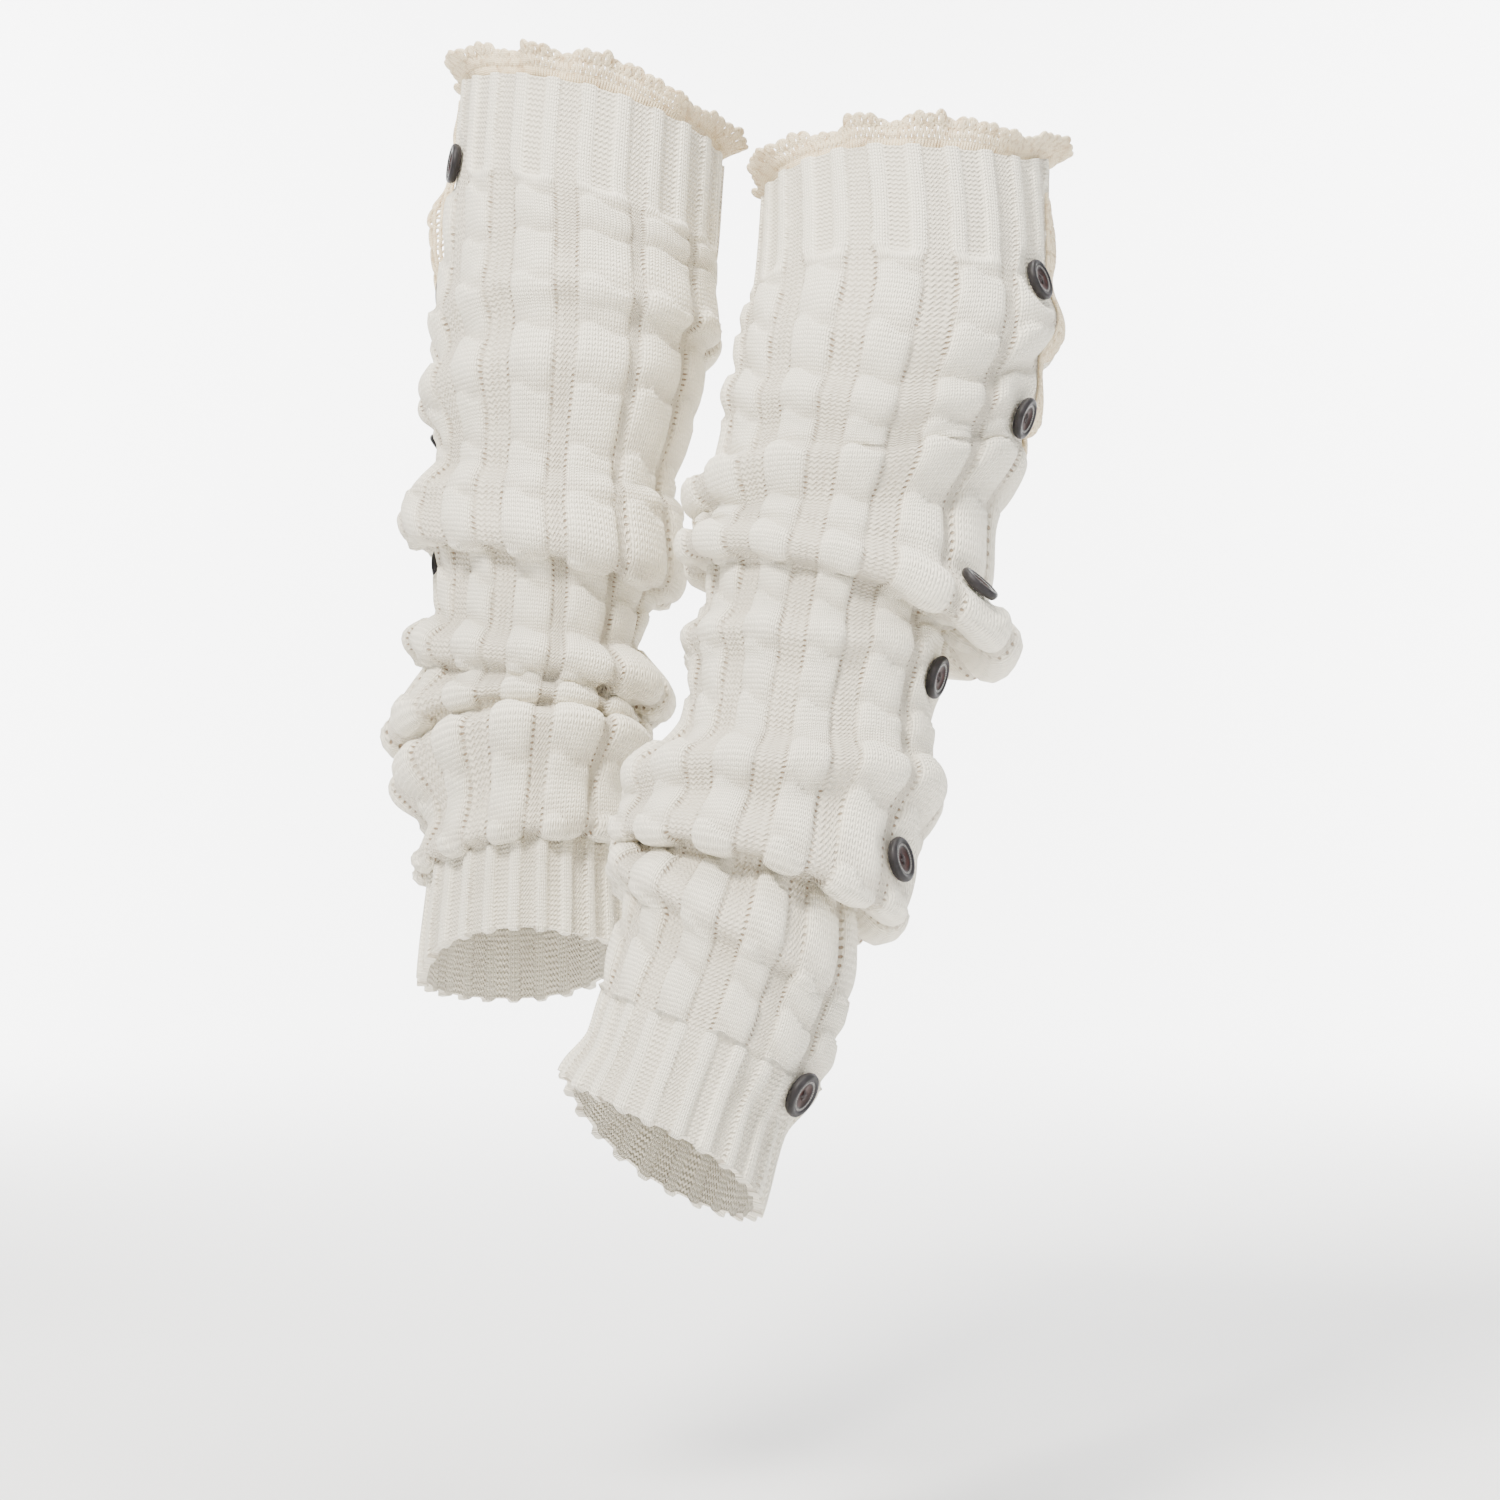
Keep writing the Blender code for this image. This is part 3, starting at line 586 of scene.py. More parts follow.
def lowered_for_trim(cuff, base, relief):
    """The knitting's height, faded out near the buttons and the lace strip so they lie clear."""
    for button in cuff.buttons:
        away = np.linalg.norm(base - cloth_points(cuff, *button), axis=-1)
        relief = relief * smoothstep(*BUTTON_ROOM, away)
    strip = strip_surface(cuff)(np.linspace(0, 1, 36)[:, None], np.linspace(0, 1, 7))
    nearest = np.full(base.shape[:2], np.inf)
    for spot in strip.reshape(-1, 3):
        nearest = np.minimum(nearest, np.linalg.norm(base - spot, axis=-1))
    return relief * smoothstep(*STRIP_ROOM, nearest)


def knitted_tube(cuff, first, last, count, settings):
    """One stretch of a cuff, from one row of its ring table to another.

    The outer face is the cuff's surface moved out by the height of the knitting, and the inner
    face is the surface moved in by the wall. Each has a grid of rows and columns, and the inner
    one keeps only some of the rows. The course is the length of cloth down from the top edge over
    the length of one stitch.
    """
    angles = np.arange(settings.columns) * 360 / settings.columns
    rows = even_rows(cuff, first, last, count, angles[::10])
    whole = np.linspace(0, len(cuff.rings) - 1, 1200)
    course_down = length_down(cuff, whole, angles[::12]) / (settings.course / MM)
    wale = wales_at(cuff, rows, angles)
    course = np.interp(rows, whole, course_down)[:, None] + 0 * wale
    start = np.interp([ring.name for ring in cuff.rings].index("band_end"), whole, course_down)
    relief, sunk = knit_relief(cuff, rows, wale, course - start, settings)
    base = cloth_points(cuff, rows[:, None], angles[None, :])
    normals, down = steady_directions(cuff, rows, angles, base)
    hem = hem_scallop(cuff, rows, wale)[..., None] * down
    outer = base + normals * lowered_for_trim(cuff, base, relief)[..., None] + hem
    keep = np.unique(np.concatenate([np.arange(0, count, INNER_ROWS), [count - 1]]))
    inner = (base - normals * settings.wall / MM + hem)[keep]
    return rows, outer, inner, keep, wale, course, sunk


def hem_scallop(cuff, rows, wale):
    """How far the ankle hem dips at each rib, fading out up the band, in millimetres."""
    last = len(cuff.rings) - 1
    near = smoothstep(last - 0.22, last, rows)[:, None]
    return near * (1.5 * rib_relief(wale) - 0.5)


def tube_piece(cuff, stretch, first, last, count, material, settings):
    """The mesh of one stretch with its fabric coordinates, and its piece.

    The faces are those of the outer grid, those of the inner one turned round, and a strip that
    joins the two at each end.
    """
    rows, outer, inner, keep, wale, course, sunk = knitted_tube(
        cuff, first, last, count, settings
    )
    columns = wale.shape[1]
    wales = np.concatenate([wale, wale[:, :1] + REPEATS * WALES], 1)
    courses = np.concatenate([course, course[:, :1]], 1)
    offset = outer.shape[0] * columns
    faces, uvs = [], []
    for kept, turn, first_point in ((np.arange(count), 1, 0), (keep, -1, offset)):
        corners, places = quads(len(kept), columns)
        at = kept[places[:, ::turn, 0]], places[:, ::turn, 1]
        faces.append(corners[:, ::turn] + first_point)
        uvs.append(np.stack([wales[at], courses[at]], -1))
    j = np.arange(columns)
    k = (j + 1) % columns
    for ring, inner_ring, turn in ((0, 0, -1), (count - 1, len(keep) - 1, 1)):
        a, b = ring * columns + j, ring * columns + k
        c, d = offset + inner_ring * columns + k, offset + inner_ring * columns + j
        edge = np.stack([wales[ring, j], wales[ring, j + 1]], 1)
        faces.append(np.stack([a, b, c, d][::turn], 1))
        uvs.append(np.stack([edge[:, (0, 1, 1, 0)], np.full((columns, 4), courses[ring, 0])], -1))
    ribbed = rib_weight(cuff, rows)[:, None] + 0 * wale
    # the sunk mask sets painted shade; the inner face gets 0.5, so it is painted darker
    masks = {
        "ribbed": np.concatenate([ribbed.ravel(), ribbed[keep].ravel()]),
        "sunk": np.concatenate([sunk.ravel(), np.full(ribbed[keep].size, 0.5)]),
    }
    points = np.concatenate([outer.reshape(-1, 3), inner.reshape(-1, 3)])
    name = f"{cuff.name}_{stretch}_knit"
    faces, uvs = np.concatenate(faces)[:, ::-1], np.concatenate(uvs)[:, ::-1]
    mesh = make_mesh(name, points, faces, uvs, masks)
    mesh.set_sharp_from_angle(angle=math.radians(75))
    nodes = [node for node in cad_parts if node.startswith(f"{cuff.name}_{stretch}")]
    return place(name, mesh, material, nodes, "knit")


# --- lace -----------------------------------------------------------------------------------


def ruffle(turns):
    """Height of a sewn ruffle's waves at a share of the way round, between -1 and 1, unevenly."""
    wave = 2 * math.pi * np.asarray(turns)
    return 0.70 * np.sin(LACE_WAVES * wave + 1.3 * np.sin(3 * wave)) + 0.30 * np.sin(17 * wave + 1)


def ruffle_surface(cuff):
    """The middle of the ruffle as a function of the share round it and the share up it."""
    turns = np.arange(360) / 360
    angles = turns * 360
    edge = cloth_points(cuff, 0.0, angles)
    up = unit(edge - cloth_points(cuff, 0.15, angles))
    around_edge = (np.roll(edge, -1, 0) - np.roll(edge, 1, 0)) / 2
    out = unit(np.cross(around_edge, up))
    out = np.where(((out * (edge - edge.mean(0))).sum(1) < 0)[:, None], -out, out)
    sewn_in = 2.4 + SEAM_GAP + 65 * (1 - math.cos(math.pi / BAND_FACETS)) + LACE_WALL / 2
    rises, leans, waves = (np.array(line, float) for line in zip(*LACE_LINES))
    share_up = (rises - rises[0]) / (rises[-1] - rises[0])
    past = 1.2  # the last stretch of each line runs on past the CAD solid's edge
    rises, leans, waves = (
        np.append(line, line[-1] + (line[-1] - line[-2]) * (past - 1) / (1 - share_up[-2]))
        for line in (rises, leans, waves)
    )
    share_up = np.append(share_up, past)

    def surface(s, t):
        s, t = np.broadcast_arrays(np.asarray(s, float), np.asarray(t, float))
        at = np.mod(s, 1) * 360
        i = np.floor(at).astype(int) % 360
        f = (at - np.floor(at))[..., None]
        k = (i + 1) % 360
        here = edge[i] * (1 - f) + edge[k] * f
        rise_way = up[i] * (1 - f) + up[k] * f
        out_way = out[i] * (1 - f) + out[k] * f
        rise = np.interp(t, share_up, rises)
        lean = np.interp(t, share_up, leans)
        wave = 1.25 * np.interp(t, share_up, waves) * ruffle(s)
        rise = rise - 0.10 * wave**2
        curl = np.sin(2 * math.pi * (27 * s + np.sin(4 * math.pi * s))) * smoothstep(0.55, 1, t)
        off = (at - np.array(FLOP_AT).reshape(-1, *[1] * at.ndim) + 180) % 360 - 180
        flop = np.exp(-((off / 24) ** 2)).sum(0) * smoothstep(0.2, 1, t)
        uneven = 1.12 + 0.10 * np.sin(2 * math.pi * 5 * s + 1) * np.clip(t, 0, 1)
        return (
            here + rise_way * (rise * uneven - 6.5 * flop)[..., None]
            + out_way * (lean - sewn_in + wave + curl + 8.5 * flop)[..., None]
        )

    return surface


def strip_surface(cuff):
    """The middle of the side strip as a function of the share down it and the share across it."""
    strip = cuff.strip
    behind = math.copysign(1, strip.first_angle)

    def surface(s, t):
        s, t = np.broadcast_arrays(np.asarray(s, float), np.asarray(t, float))
        row = strip.first + (strip.last - strip.first) * s
        angle = strip.first_angle + (strip.last_angle - strip.first_angle) * s
        radius = profile(cuff, row, angle)[1]
        here, normal, down = cloth_frame(cuff, row, angle)
        across = unit(np.cross(down, normal)) * -behind
        flare = np.radians(np.interp(s, (0, 0.5, 1), strip.flares) + 6 * np.sin(s * 19))
        reach = t * STRIP_WIDTH
        bend = reach / radius / 2
        wave = 1.1 * smoothstep(0.3, 1, t) * np.sin(2 * math.pi * s * 5.5)
        step = across * (np.cos(bend - flare) * reach)[..., None]
        step = step + normal * (np.sin(flare - bend) * reach + wave)[..., None]
        return here + normal * (STRIP_CLEAR + LACE_WALL / 2) + step

    return surface


def shell_lines():
    """The crochet pattern of one shell, as lines of (share along the repeat, share across).

    A chain at the foot and posts up to a second chain, a row of stitches in pairs that meet at
    their tops, a third chain, and two scallops. A scallop is a fan of short stitches from one
    point with a cord round its edge.
    """
    t = np.linspace(0, 1, 9)
    lines = []
    for height, wiggle in ((0.03, 0.01), (0.22, 0.012), (0.44, 0.015), (0.66, 0.018)):
        lines.append(("edge", np.stack([t, height + wiggle * np.sin(4 * math.pi * t)], 1)))
    s = np.linspace(0, 1, 3)
    for k in range(3):
        lines.append(("post", np.stack([(k + 0.5) / 3 + 0 * s, 0.03 + 0.19 * s], 1)))
    for k in range(7):
        lines.append(("post", np.stack([(k + 0.3) / 7 + 0.05 * s, 0.23 + 0.20 * s], 1)))
    for k in range(8):
        lean = 0.035 if k % 2 else -0.035
        lines.append(("post", np.stack([(k + 0.5) / 8 + lean * (2 * s - 1), 0.45 + 0.20 * s], 1)))
    for centre in (0.25, 0.75):
        for k in range(5):
            swing = math.radians(-64 + 32 * k)
            reach = 0.08 + 0.14 * s
            lines.append(("post", np.stack(
                [centre + 0.78 * reach * math.sin(swing), 0.62 + reach * math.cos(swing)], 1
            )))
        arc = np.linspace(0.05, math.pi - 0.05, 9)
        lines.append(("arch", np.stack(
            [centre - 0.25 * np.cos(arc), 0.66 + 0.19 * np.sin(arc) ** 0.55], 1
        )))
    return lines


def round_tubes(middle, side, lift, tips, radius, sides):
    """Points and triangles of tubes of a few sides round lines, closed on a point at each end.

    The lines, the two ways across them and their end points each have a row for every tube.
    """
    turn = np.arange(sides) * 2 * math.pi / sides
    ring = middle[:, :, None] + radius * (
        side[:, :, None] * np.cos(turn)[:, None] + lift[:, :, None] * np.sin(turn)[:, None]
    )
    runs, steps = ring.shape[:2]
    base = (np.arange(runs) * (steps * sides + 2))[:, None]
    j = np.arange(sides)
    k = (j + 1) % sides
    row = base[..., None] + np.arange(steps - 1)[None, :, None] * sides
    quad = np.stack([row + j, row + k, row + sides + k, row + sides + j], -1).reshape(-1, 4)
    tip, last_row = base + steps * sides, base + (steps - 1) * sides
    first = np.stack([tip + 0 * j, base + k, base + j], -1).reshape(-1, 3)
    last = np.stack([tip + 1 + 0 * j, last_row + j, last_row + k], -1).reshape(-1, 3)
    faces = np.concatenate([quad[:, [0, 1, 2]], quad[:, [0, 2, 3]], first, last])
    return np.concatenate([ring.reshape(runs, -1, 3), tips], 1).reshape(-1, 3), faces


def cords(lines, surface, repeats, radius, sides, closed):
    """Tubes along lines of (along, across) carried round a surface, one set for every repeat.

    Their UVs are the share round the tube and the length along it. The jitter makes some repeats
    a little taller than others.
    """
    shift = np.arange(repeats)
    jitter = 0.11 * np.sin(7.3 * shift + np.sin(3.1 * shift))[:, None]
    points, faces, uvs = [], [], []
    count = 0
    for kind, line in lines:
        thick = radius * CORD_SHARES[kind]
        s = (shift[:, None] + line[None, :, 0]) / repeats
        if not closed:
            s = np.clip(s, 0, 1)
        t = np.broadcast_to(line[None, :, 1], s.shape)
        t = np.clip(t * (1 + jitter * t), 0, 1.1)
        wide = surface(s + 0.002, t) - surface(s - 0.002, t)
        tall = surface(s, t + 0.02) - surface(s, t - 0.02)
        normal = unit(np.cross(wide, tall))
        middle = surface(s, t) + normal * (0.35 if kind == "post" else -0.15)
        way = unit(np.gradient(middle, axis=1))
        side = unit(np.cross(normal, way))
        tips = middle[:, [0, -1]] + way[:, [0, -1]] * thick * np.array([[-0.5], [0.5]])
        ring, skin = round_tubes(middle, side, np.cross(way, side), tips, thick, sides)
        points.append(ring)
        faces.append(skin + count)
        count += len(ring)
        length = np.linalg.norm(np.diff(middle, axis=1), axis=-1)
        along = np.concatenate([np.zeros((repeats, 1)), np.cumsum(length, 1)], 1)
        along = np.concatenate([np.repeat(along, sides, 1), along[:, [0, -1]]], 1)
        turns = np.concatenate([np.tile(np.arange(sides) / sides, line.shape[0]), [0.5, 0.5]])
        uvs.append(np.stack([turns[None, :] + 0 * along, along], -1).reshape(-1, 2))
    points, faces, uvs = np.concatenate(points), np.concatenate(faces), np.concatenate(uvs)
    return points, faces, uvs[faces]


def fix_winding(points, faces):
    """The faces turned so that the closed shells they make have a positive volume."""
    a, b, c = (points[faces[:, k]] for k in range(3))
    volume = (np.cross(a, b) * c).sum() / 6
    return faces if volume > 0 else faces[:, ::-1]


def lace_piece(cuff, part, surface, repeats, closed, material, settings):
    """A run of crocheted shells on a surface, and its piece."""
    points, faces, uvs = cords(shell_lines(), surface, repeats, settings.cord / MM / 2, 6, closed)
    turned = fix_winding(points, faces)
    if turned is not faces:
        uvs = uvs[:, ::-1]
    name = f"{cuff.name}_{part}_crochet"
    mesh = make_mesh(name, points, turned, uvs)
    return place(name, mesh, material, [f"{cuff.name}_{part}"], "lace")


# --- buttons --------------------------------------------------------------------------------


def button_profile():
    """Radius, height and colour zone, from the middle of the face round to that of the back."""
    r, h = BUTTON_RADIUS, BUTTON_THICK
    face = [(0.0, h - 1.35, 0), (1.6, h - 1.33, 0), (3.2, h - 1.25, 0), (4.3, h - 1.0, 0),
            (4.9, h - 0.72, 0.1), (5.1, h - 0.55, 0.5), (5.35, h - 0.5, 1), (5.6, h - 0.46, 1),
            (5.9, h - 0.42, 1), (6.15, h - 0.36, 0.5), (6.35, h - 0.42, 0.2), (6.6, h - 0.22, 0.2),
            (7.0, h - 0.02, 0.2), (7.6, h + 0.05, 0.2), (8.2, h - 0.08, 0.2), (8.65, h - 0.45, 0.2),
            (8.95, h - 1.1, 0.2), (r, h - 1.7, 0.2), (8.7, 1.4, 0.2), (8.0, 0.5, 0.2),
            (6.0, 0.05, 0.2), (2.0, 0.0, 0.2), (0.0, 0.0, 0.2)]
    return np.array(face, float)


def button_grid(sides):
    """The button turned about its axis: the profile's points by steps round it, without holes."""
    face = button_profile()[1:-1]
    turn = np.arange(sides) * 2 * math.pi / sides
    radius, height = face[:, 0][:, None], face[:, 1][:, None]
    notch = np.exp(-(((face[:, 0] - 5.6) / 0.35) ** 2)) * (face[:, 1] > 2)
    height = height + 0.10 * notch[:, None] * np.cos(turn * sides / 2)[None, :]
    grid = np.stack(
        [radius * np.cos(turn), radius * np.sin(turn), height + 0 * turn], -1
    )
    ends = np.array([[0, 0, button_profile()[0, 1]], [0, 0, 0]])
    return grid, ends, face[:, 2]


def thread_points():
    """Four strands of thread over the middle of the button, each an arch between two holes."""
    s = np.linspace(0, 1, 7)
    spots = [(-1.77, -1.77, 1.77, 1.77), (-1.77, 1.77, 1.77, -1.77)]
    lines = []
    for x0, y0, x1, y1 in spots:
        for side in (-0.32, 0.32):
            x = x0 + (x1 - x0) * s - side * (y1 - y0) / 5
            y = y0 + (y1 - y0) * s + side * (x1 - x0) / 5
            z = BUTTON_THICK - 1.75 + 1.0 * np.sin(math.pi * s) ** 0.6 + 0.12 * (side > 0)
            lines.append(np.stack([x, y, z], 1))
    return np.array(lines)


def plain_tubes(lines, radius, sides):
    """Tubes of a few sides along lines in space, closed at their ends."""
    way = unit(np.gradient(lines, axis=1))
    side = unit(np.cross(way, np.array([0.0, 0, 1.0]) + 0 * way))
    points, faces = round_tubes(lines, side, np.cross(side, way), lines[:, [0, -1]], radius, sides)
    return points, fix_winding(points, faces)


def button_piece(cuff, number, material, thread, settings):
    """One button where its CAD solid lies, turned as that is, with its thread."""
    row, angle = cuff.buttons[number - 1]
    here, z, down = cloth_frame(cuff, row, angle, 0.12, 8)
    x = unit(np.cross(-down, z))
    y = np.cross(z, x)
    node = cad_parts[f"{cuff.name}_button_{number}"]
    spots = np.zeros(len(node.data.vertices) * 3)
    node.data.vertices.foreach_get("co", spots)
    lift = ((spots.reshape(-1, 3) / MM - here) @ z).min()
    origin = here + z * lift
    grid, ends, zone = button_grid(settings.sides)
    rows, sides = grid.shape[:2]
    corners, _ = quads(rows, sides)
    j = np.arange(sides)
    k = (j + 1) % sides
    top = np.stack([np.full(sides, rows * sides), k, j], 1)
    low = (rows - 1) * sides
    back = np.stack([np.full(sides, rows * sides + 1), low + j, low + k], 1)
    faces = np.concatenate([corners[:, [0, 1, 2]], corners[:, [0, 2, 3]], top, back])
    points = np.concatenate([grid.reshape(-1, 3), ends])
    faces = fix_winding(points, faces)
    zones = np.concatenate([np.repeat(zone, sides), [0, 0.2]])
    turns = np.concatenate([np.tile(j / sides, rows), [0, 0]])
    strands, strand_faces = plain_tubes(thread_points(), 0.24, 6)
    body = len(faces)
    faces = np.concatenate([faces, strand_faces + len(points)])
    zones = np.concatenate([zones, np.full(len(strands), 0.2)])
    turns = np.concatenate([turns, np.zeros(len(strands))])
    points = np.concatenate([points, strands])
    world = origin + points @ np.array([x, y, z])
    name = f"{cuff.name}_button_{number}_dished"
    mesh = make_mesh(name, world, faces, None, {"zone": zones, "turn": turns})
    piece = place(name, mesh, material, [f"{cuff.name}_button_{number}"], "button")
    mesh.materials.append(thread)
    slots = np.zeros(len(faces), np.int32)
    slots[body:] = 1
    mesh.polygons.foreach_set("material_index", slots)
    mesh.set_sharp_from_angle(angle=math.radians(40))
    return piece


# --- materials ------------------------------------------------------------------------------


class Tree:
    """A node tree that makes its nodes by type and links their inputs as it goes."""

    def __init__(self, tree):
        self.tree = tree

    def add(self, kind, **settings):
        node = self.tree.nodes.new(f"ShaderNode{kind}")
        for key, value in settings.items():
            setattr(node, key, value)
        return node

    def feed(self, socket, value):
        if isinstance(value, bpy.types.NodeSocket):
            self.tree.links.new(value, socket)
        elif value is not None:
            socket.default_value = value

    def math(self, operation, *values, clamp=False):
        node = self.add("Math", operation=operation, use_clamp=clamp)
        for socket, value in zip(node.inputs, values):
            self.feed(socket, value)
        return node.outputs[0]

    def ramp(self, value, low, high, start=0.0, end=1.0):
        """A value carried smoothly from one range to another."""
        node = self.add("MapRange", interpolation_type="SMOOTHSTEP")
        for name, given in (
            ("Value", value), ("From Min", low), ("From Max", high), ("To Min", start),
            ("To Max", end),
        ):
            self.feed(node.inputs[name], given)
        return node.outputs["Result"]

    def mix(self, factor, a, b, blend="MIX"):
        node = self.add("Mix", data_type="RGBA", blend_type=blend)
        self.feed(node.inputs[0], factor)
        self.feed(node.inputs[6], a)
        self.feed(node.inputs[7], b)
        return node.outputs[2]

    def noise(self, vector, scale, detail=2.0):
        node = self.add("TexNoise")
        node.inputs["Scale"].default_value = scale
        node.inputs["Detail"].default_value = detail
        self.feed(node.inputs["Vector"], vector)
        return node.outputs["Fac"]

    def group(self, tree, **values):
        node = self.add("Group")
        node.node_tree = tree
        for name, value in values.items():
            self.feed(node.inputs[name], value)
        return node

    def yarn(self, fuzz, colour, unevenness):
        """The fuzzy yarn of a colour."""
        where = self.add("TexCoord").outputs["Object"]
        return self.group(fuzz, Position=where, Colour=(*colour, 1), Unevenness=unevenness)

    def fabric(self):
        """The UV map of the cloth or cord, and its two coordinates."""
        uv = self.add("UVMap", uv_map="fabric").outputs[0]
        parts = self.add("SeparateXYZ")
        self.feed(parts.inputs[0], uv)
        return uv, parts.outputs[0], parts.outputs[1]

    def finish(self, shader, colour, height, strength, distance, **values):
        """The shader's colour, its bump from a height, and its other values."""
        bump = self.add("Bump")
        for socket, value in (
            (bump.inputs["Strength"], strength), (bump.inputs["Distance"], distance),
            (bump.inputs["Height"], height), (shader.inputs["Normal"], bump.outputs[0]),
            (shader.inputs["Base Color"], colour),
        ):
            self.feed(socket, value)
        for name, value in values.items():
            self.feed(shader.inputs[name.replace("_", " ")], value)


def yarn_group():
    """Yarn Fuzz: a soft fuzzy height and a slightly uneven colour for any yarn or cord."""
    tree = bpy.data.node_groups.new("Yarn Fuzz", "ShaderNodeTree")
    face = tree.interface
    for name, kind, way in (
        ("Position", "NodeSocketVector", "INPUT"), ("Colour", "NodeSocketColor", "INPUT"),
        ("Unevenness", "NodeSocketFloat", "INPUT"), ("Colour", "NodeSocketColor", "OUTPUT"),
        ("Height", "NodeSocketFloat", "OUTPUT"),
    ):
        face.new_socket(name=name, in_out=way, socket_type=kind)
    t = Tree(tree)
    given = tree.nodes.new("NodeGroupInput")
    result = tree.nodes.new("NodeGroupOutput")
    fine = t.noise(given.outputs["Position"], 2600, 3)
    broad = t.noise(given.outputs["Position"], 42, 2)
    speck = t.noise(given.outputs["Position"], 700, 2)
    dark = t.math("MULTIPLY", t.math("SUBTRACT", broad, 0.5), given.outputs["Unevenness"])
    dark = t.math("ADD", dark, t.math("MULTIPLY", t.math("SUBTRACT", speck, 0.5), 0.10))
    scale = t.math("ADD", dark, 1.0)
    shade = t.add("VectorMath", operation="SCALE")
    t.feed(shade.inputs[0], given.outputs["Colour"])
    t.feed(shade.inputs["Scale"], scale)
    t.feed(result.inputs["Colour"], shade.outputs[0])
    t.feed(result.inputs["Height"], t.math("ADD", fine, t.math("MULTIPLY", speck, 0.6)))
    return tree


def new_material(name, colour, roughness):
    """A plain material, its node tree and its shader."""
    material = bpy.data.materials.new(name)
    material.use_nodes = True
    material.diffuse_color = (*colour, 1)
    shader = material.node_tree.nodes["Principled BSDF"]
    shader.inputs["Roughness"].default_value = roughness
    shader.inputs["Base Color"].default_value = (*colour, 1)
    return material, Tree(material.node_tree), shader


def knit_material(settings, fuzz):
    """Knitting from its wale and course: V-shaped stitches, purl rungs and open corner stitches.

    A knit stitch is two legs that rise to the sides of a wale, so its height runs along the course
    plus a share of the distance from the wale's middle. A purl stitch is a rung that arches over
    the wale. Small holes lie at the edges of each purl valley, one to a course.
    """
    material, t, shader = new_material("cream_knit", settings.colour, 0.92)
    uv, wale, course = t.fabric()
    ribbed = t.add("Attribute", attribute_name="ribbed").outputs["Fac"]
    where = t.math("WRAP", wale, WALES / 2, -WALES / 2)
    from_valley = t.math("ABSOLUTE", where)
    edge = t.math("ABSOLUTE", t.math("SUBTRACT", from_valley, PURL_HALF))
    valley = t.ramp(from_valley, PURL_HALF - 0.25, PURL_HALF + 0.25, 1.0, 0.0)
    middle_valley = t.math("MULTIPLY", t.ramp(from_valley, 5.3, 5.9), ribbed)
    purl = t.math("MAXIMUM", valley, middle_valley)

    half_wale = t.math("FRACT", t.math("ADD", wale, 0.5))
    aside = t.math("MULTIPLY", t.math("ABSOLUTE", t.math("SUBTRACT", half_wale, 0.5)), 2.0)
    fine_course = t.math("MULTIPLY", course, t.math("ADD", 1.25, t.math("MULTIPLY", ribbed, 0.1)))
    lean = t.math("SUBTRACT", fine_course, t.math("MULTIPLY", aside, 0.55))
    leg = t.math("SINE", t.math("MULTIPLY", lean, 2 * math.pi))
    leg = t.math("ADD", t.math("MULTIPLY", leg, 0.5), 0.5)
    body = t.math("SINE", t.math("MULTIPLY", aside, math.pi))
    body = t.math("POWER", t.math("MAXIMUM", body, 0.0), 0.5)
    knit_height = t.math("MULTIPLY", body, t.math("ADD", 0.45, t.math("MULTIPLY", leg, 0.55)))

    sway = t.math("MULTIPLY", t.math("SINE", t.math("MULTIPLY", wale, 2 * math.pi)), 0.16)
    rung = t.math("SINE", t.math("MULTIPLY", t.math("ADD", course, sway), 2 * math.pi))
    rung = t.math("POWER", t.math("ADD", t.math("MULTIPLY", rung, 0.5), 0.5), 0.8)
    height = t.add("Mix", data_type="FLOAT")
    t.feed(height.inputs[0], purl)
    t.feed(height.inputs[2], knit_height)
    t.feed(height.inputs[3], t.math("MULTIPLY", rung, 1.1))

    down = t.math("ABSOLUTE", t.math("SUBTRACT", t.math("FRACT", course), 0.25))
    spread = t.math("MULTIPLY", down, 1.25)
    inner = t.math("ABSOLUTE", t.math("SUBTRACT", from_valley, 0.55))
    near_edge, near_inner = (
        t.math("SQRT", t.math(
            "ADD", t.math("POWER", t.math("MULTIPLY", aside, scale), 2.0),
            t.math("POWER", spread, 2.0),
        ))
        for aside, scale in ((edge, 0.62), (inner, 0.8))
    )
    hole = t.ramp(near_edge, 0.16, 0.34, 1.0, 0.0)
    faint = t.math("MULTIPLY", t.ramp(near_inner, 0.12, 0.32, 0.60, 0.0), valley)
    patch = t.ramp(t.noise(uv, 0.21, 1), 0.36, 0.62, 0.35, 1.0)
    hole = t.math("MULTIPLY", t.math("MAXIMUM", hole, faint), patch)
    weak = t.math("SUBTRACT", 1.0, t.math("MULTIPLY", ribbed, 0.35))
    hole = t.math("MULTIPLY", hole, weak)

    yarn = t.yarn(fuzz, settings.colour, 0.05)
    # painted shade between stitches: up to 26% of the shade colour where the stitch height is low
    hollow = (*settings.painted_shade_colour, 1)
    between = t.ramp(height.outputs[0], 0.0, 0.45, 0.26, 0.0)
    colour = t.mix(between, yarn.outputs["Colour"], hollow)
    # painted shade: a tan half shade, laid at 14% over the purl valleys and by depth in creases
    tan_shade = t.mix(0.5, (*settings.colour, 1), hollow)
    colour = t.mix(t.math("MULTIPLY", purl, 0.14), colour, tan_shade)
    # painted shade by how sunk the knitting is: up to 52% in cable creases and rib valleys
    sunk = t.add("Attribute", attribute_name="sunk").outputs["Fac"]
    colour = t.mix(t.ramp(sunk, 0.12, 0.85, 0.0, 0.52), colour, tan_shade)
    # painted shade: the holes are real openings, coloured almost fully dark for the shade inside
    colour = t.mix(t.math("MULTIPLY", hole, 0.95), colour, hollow)

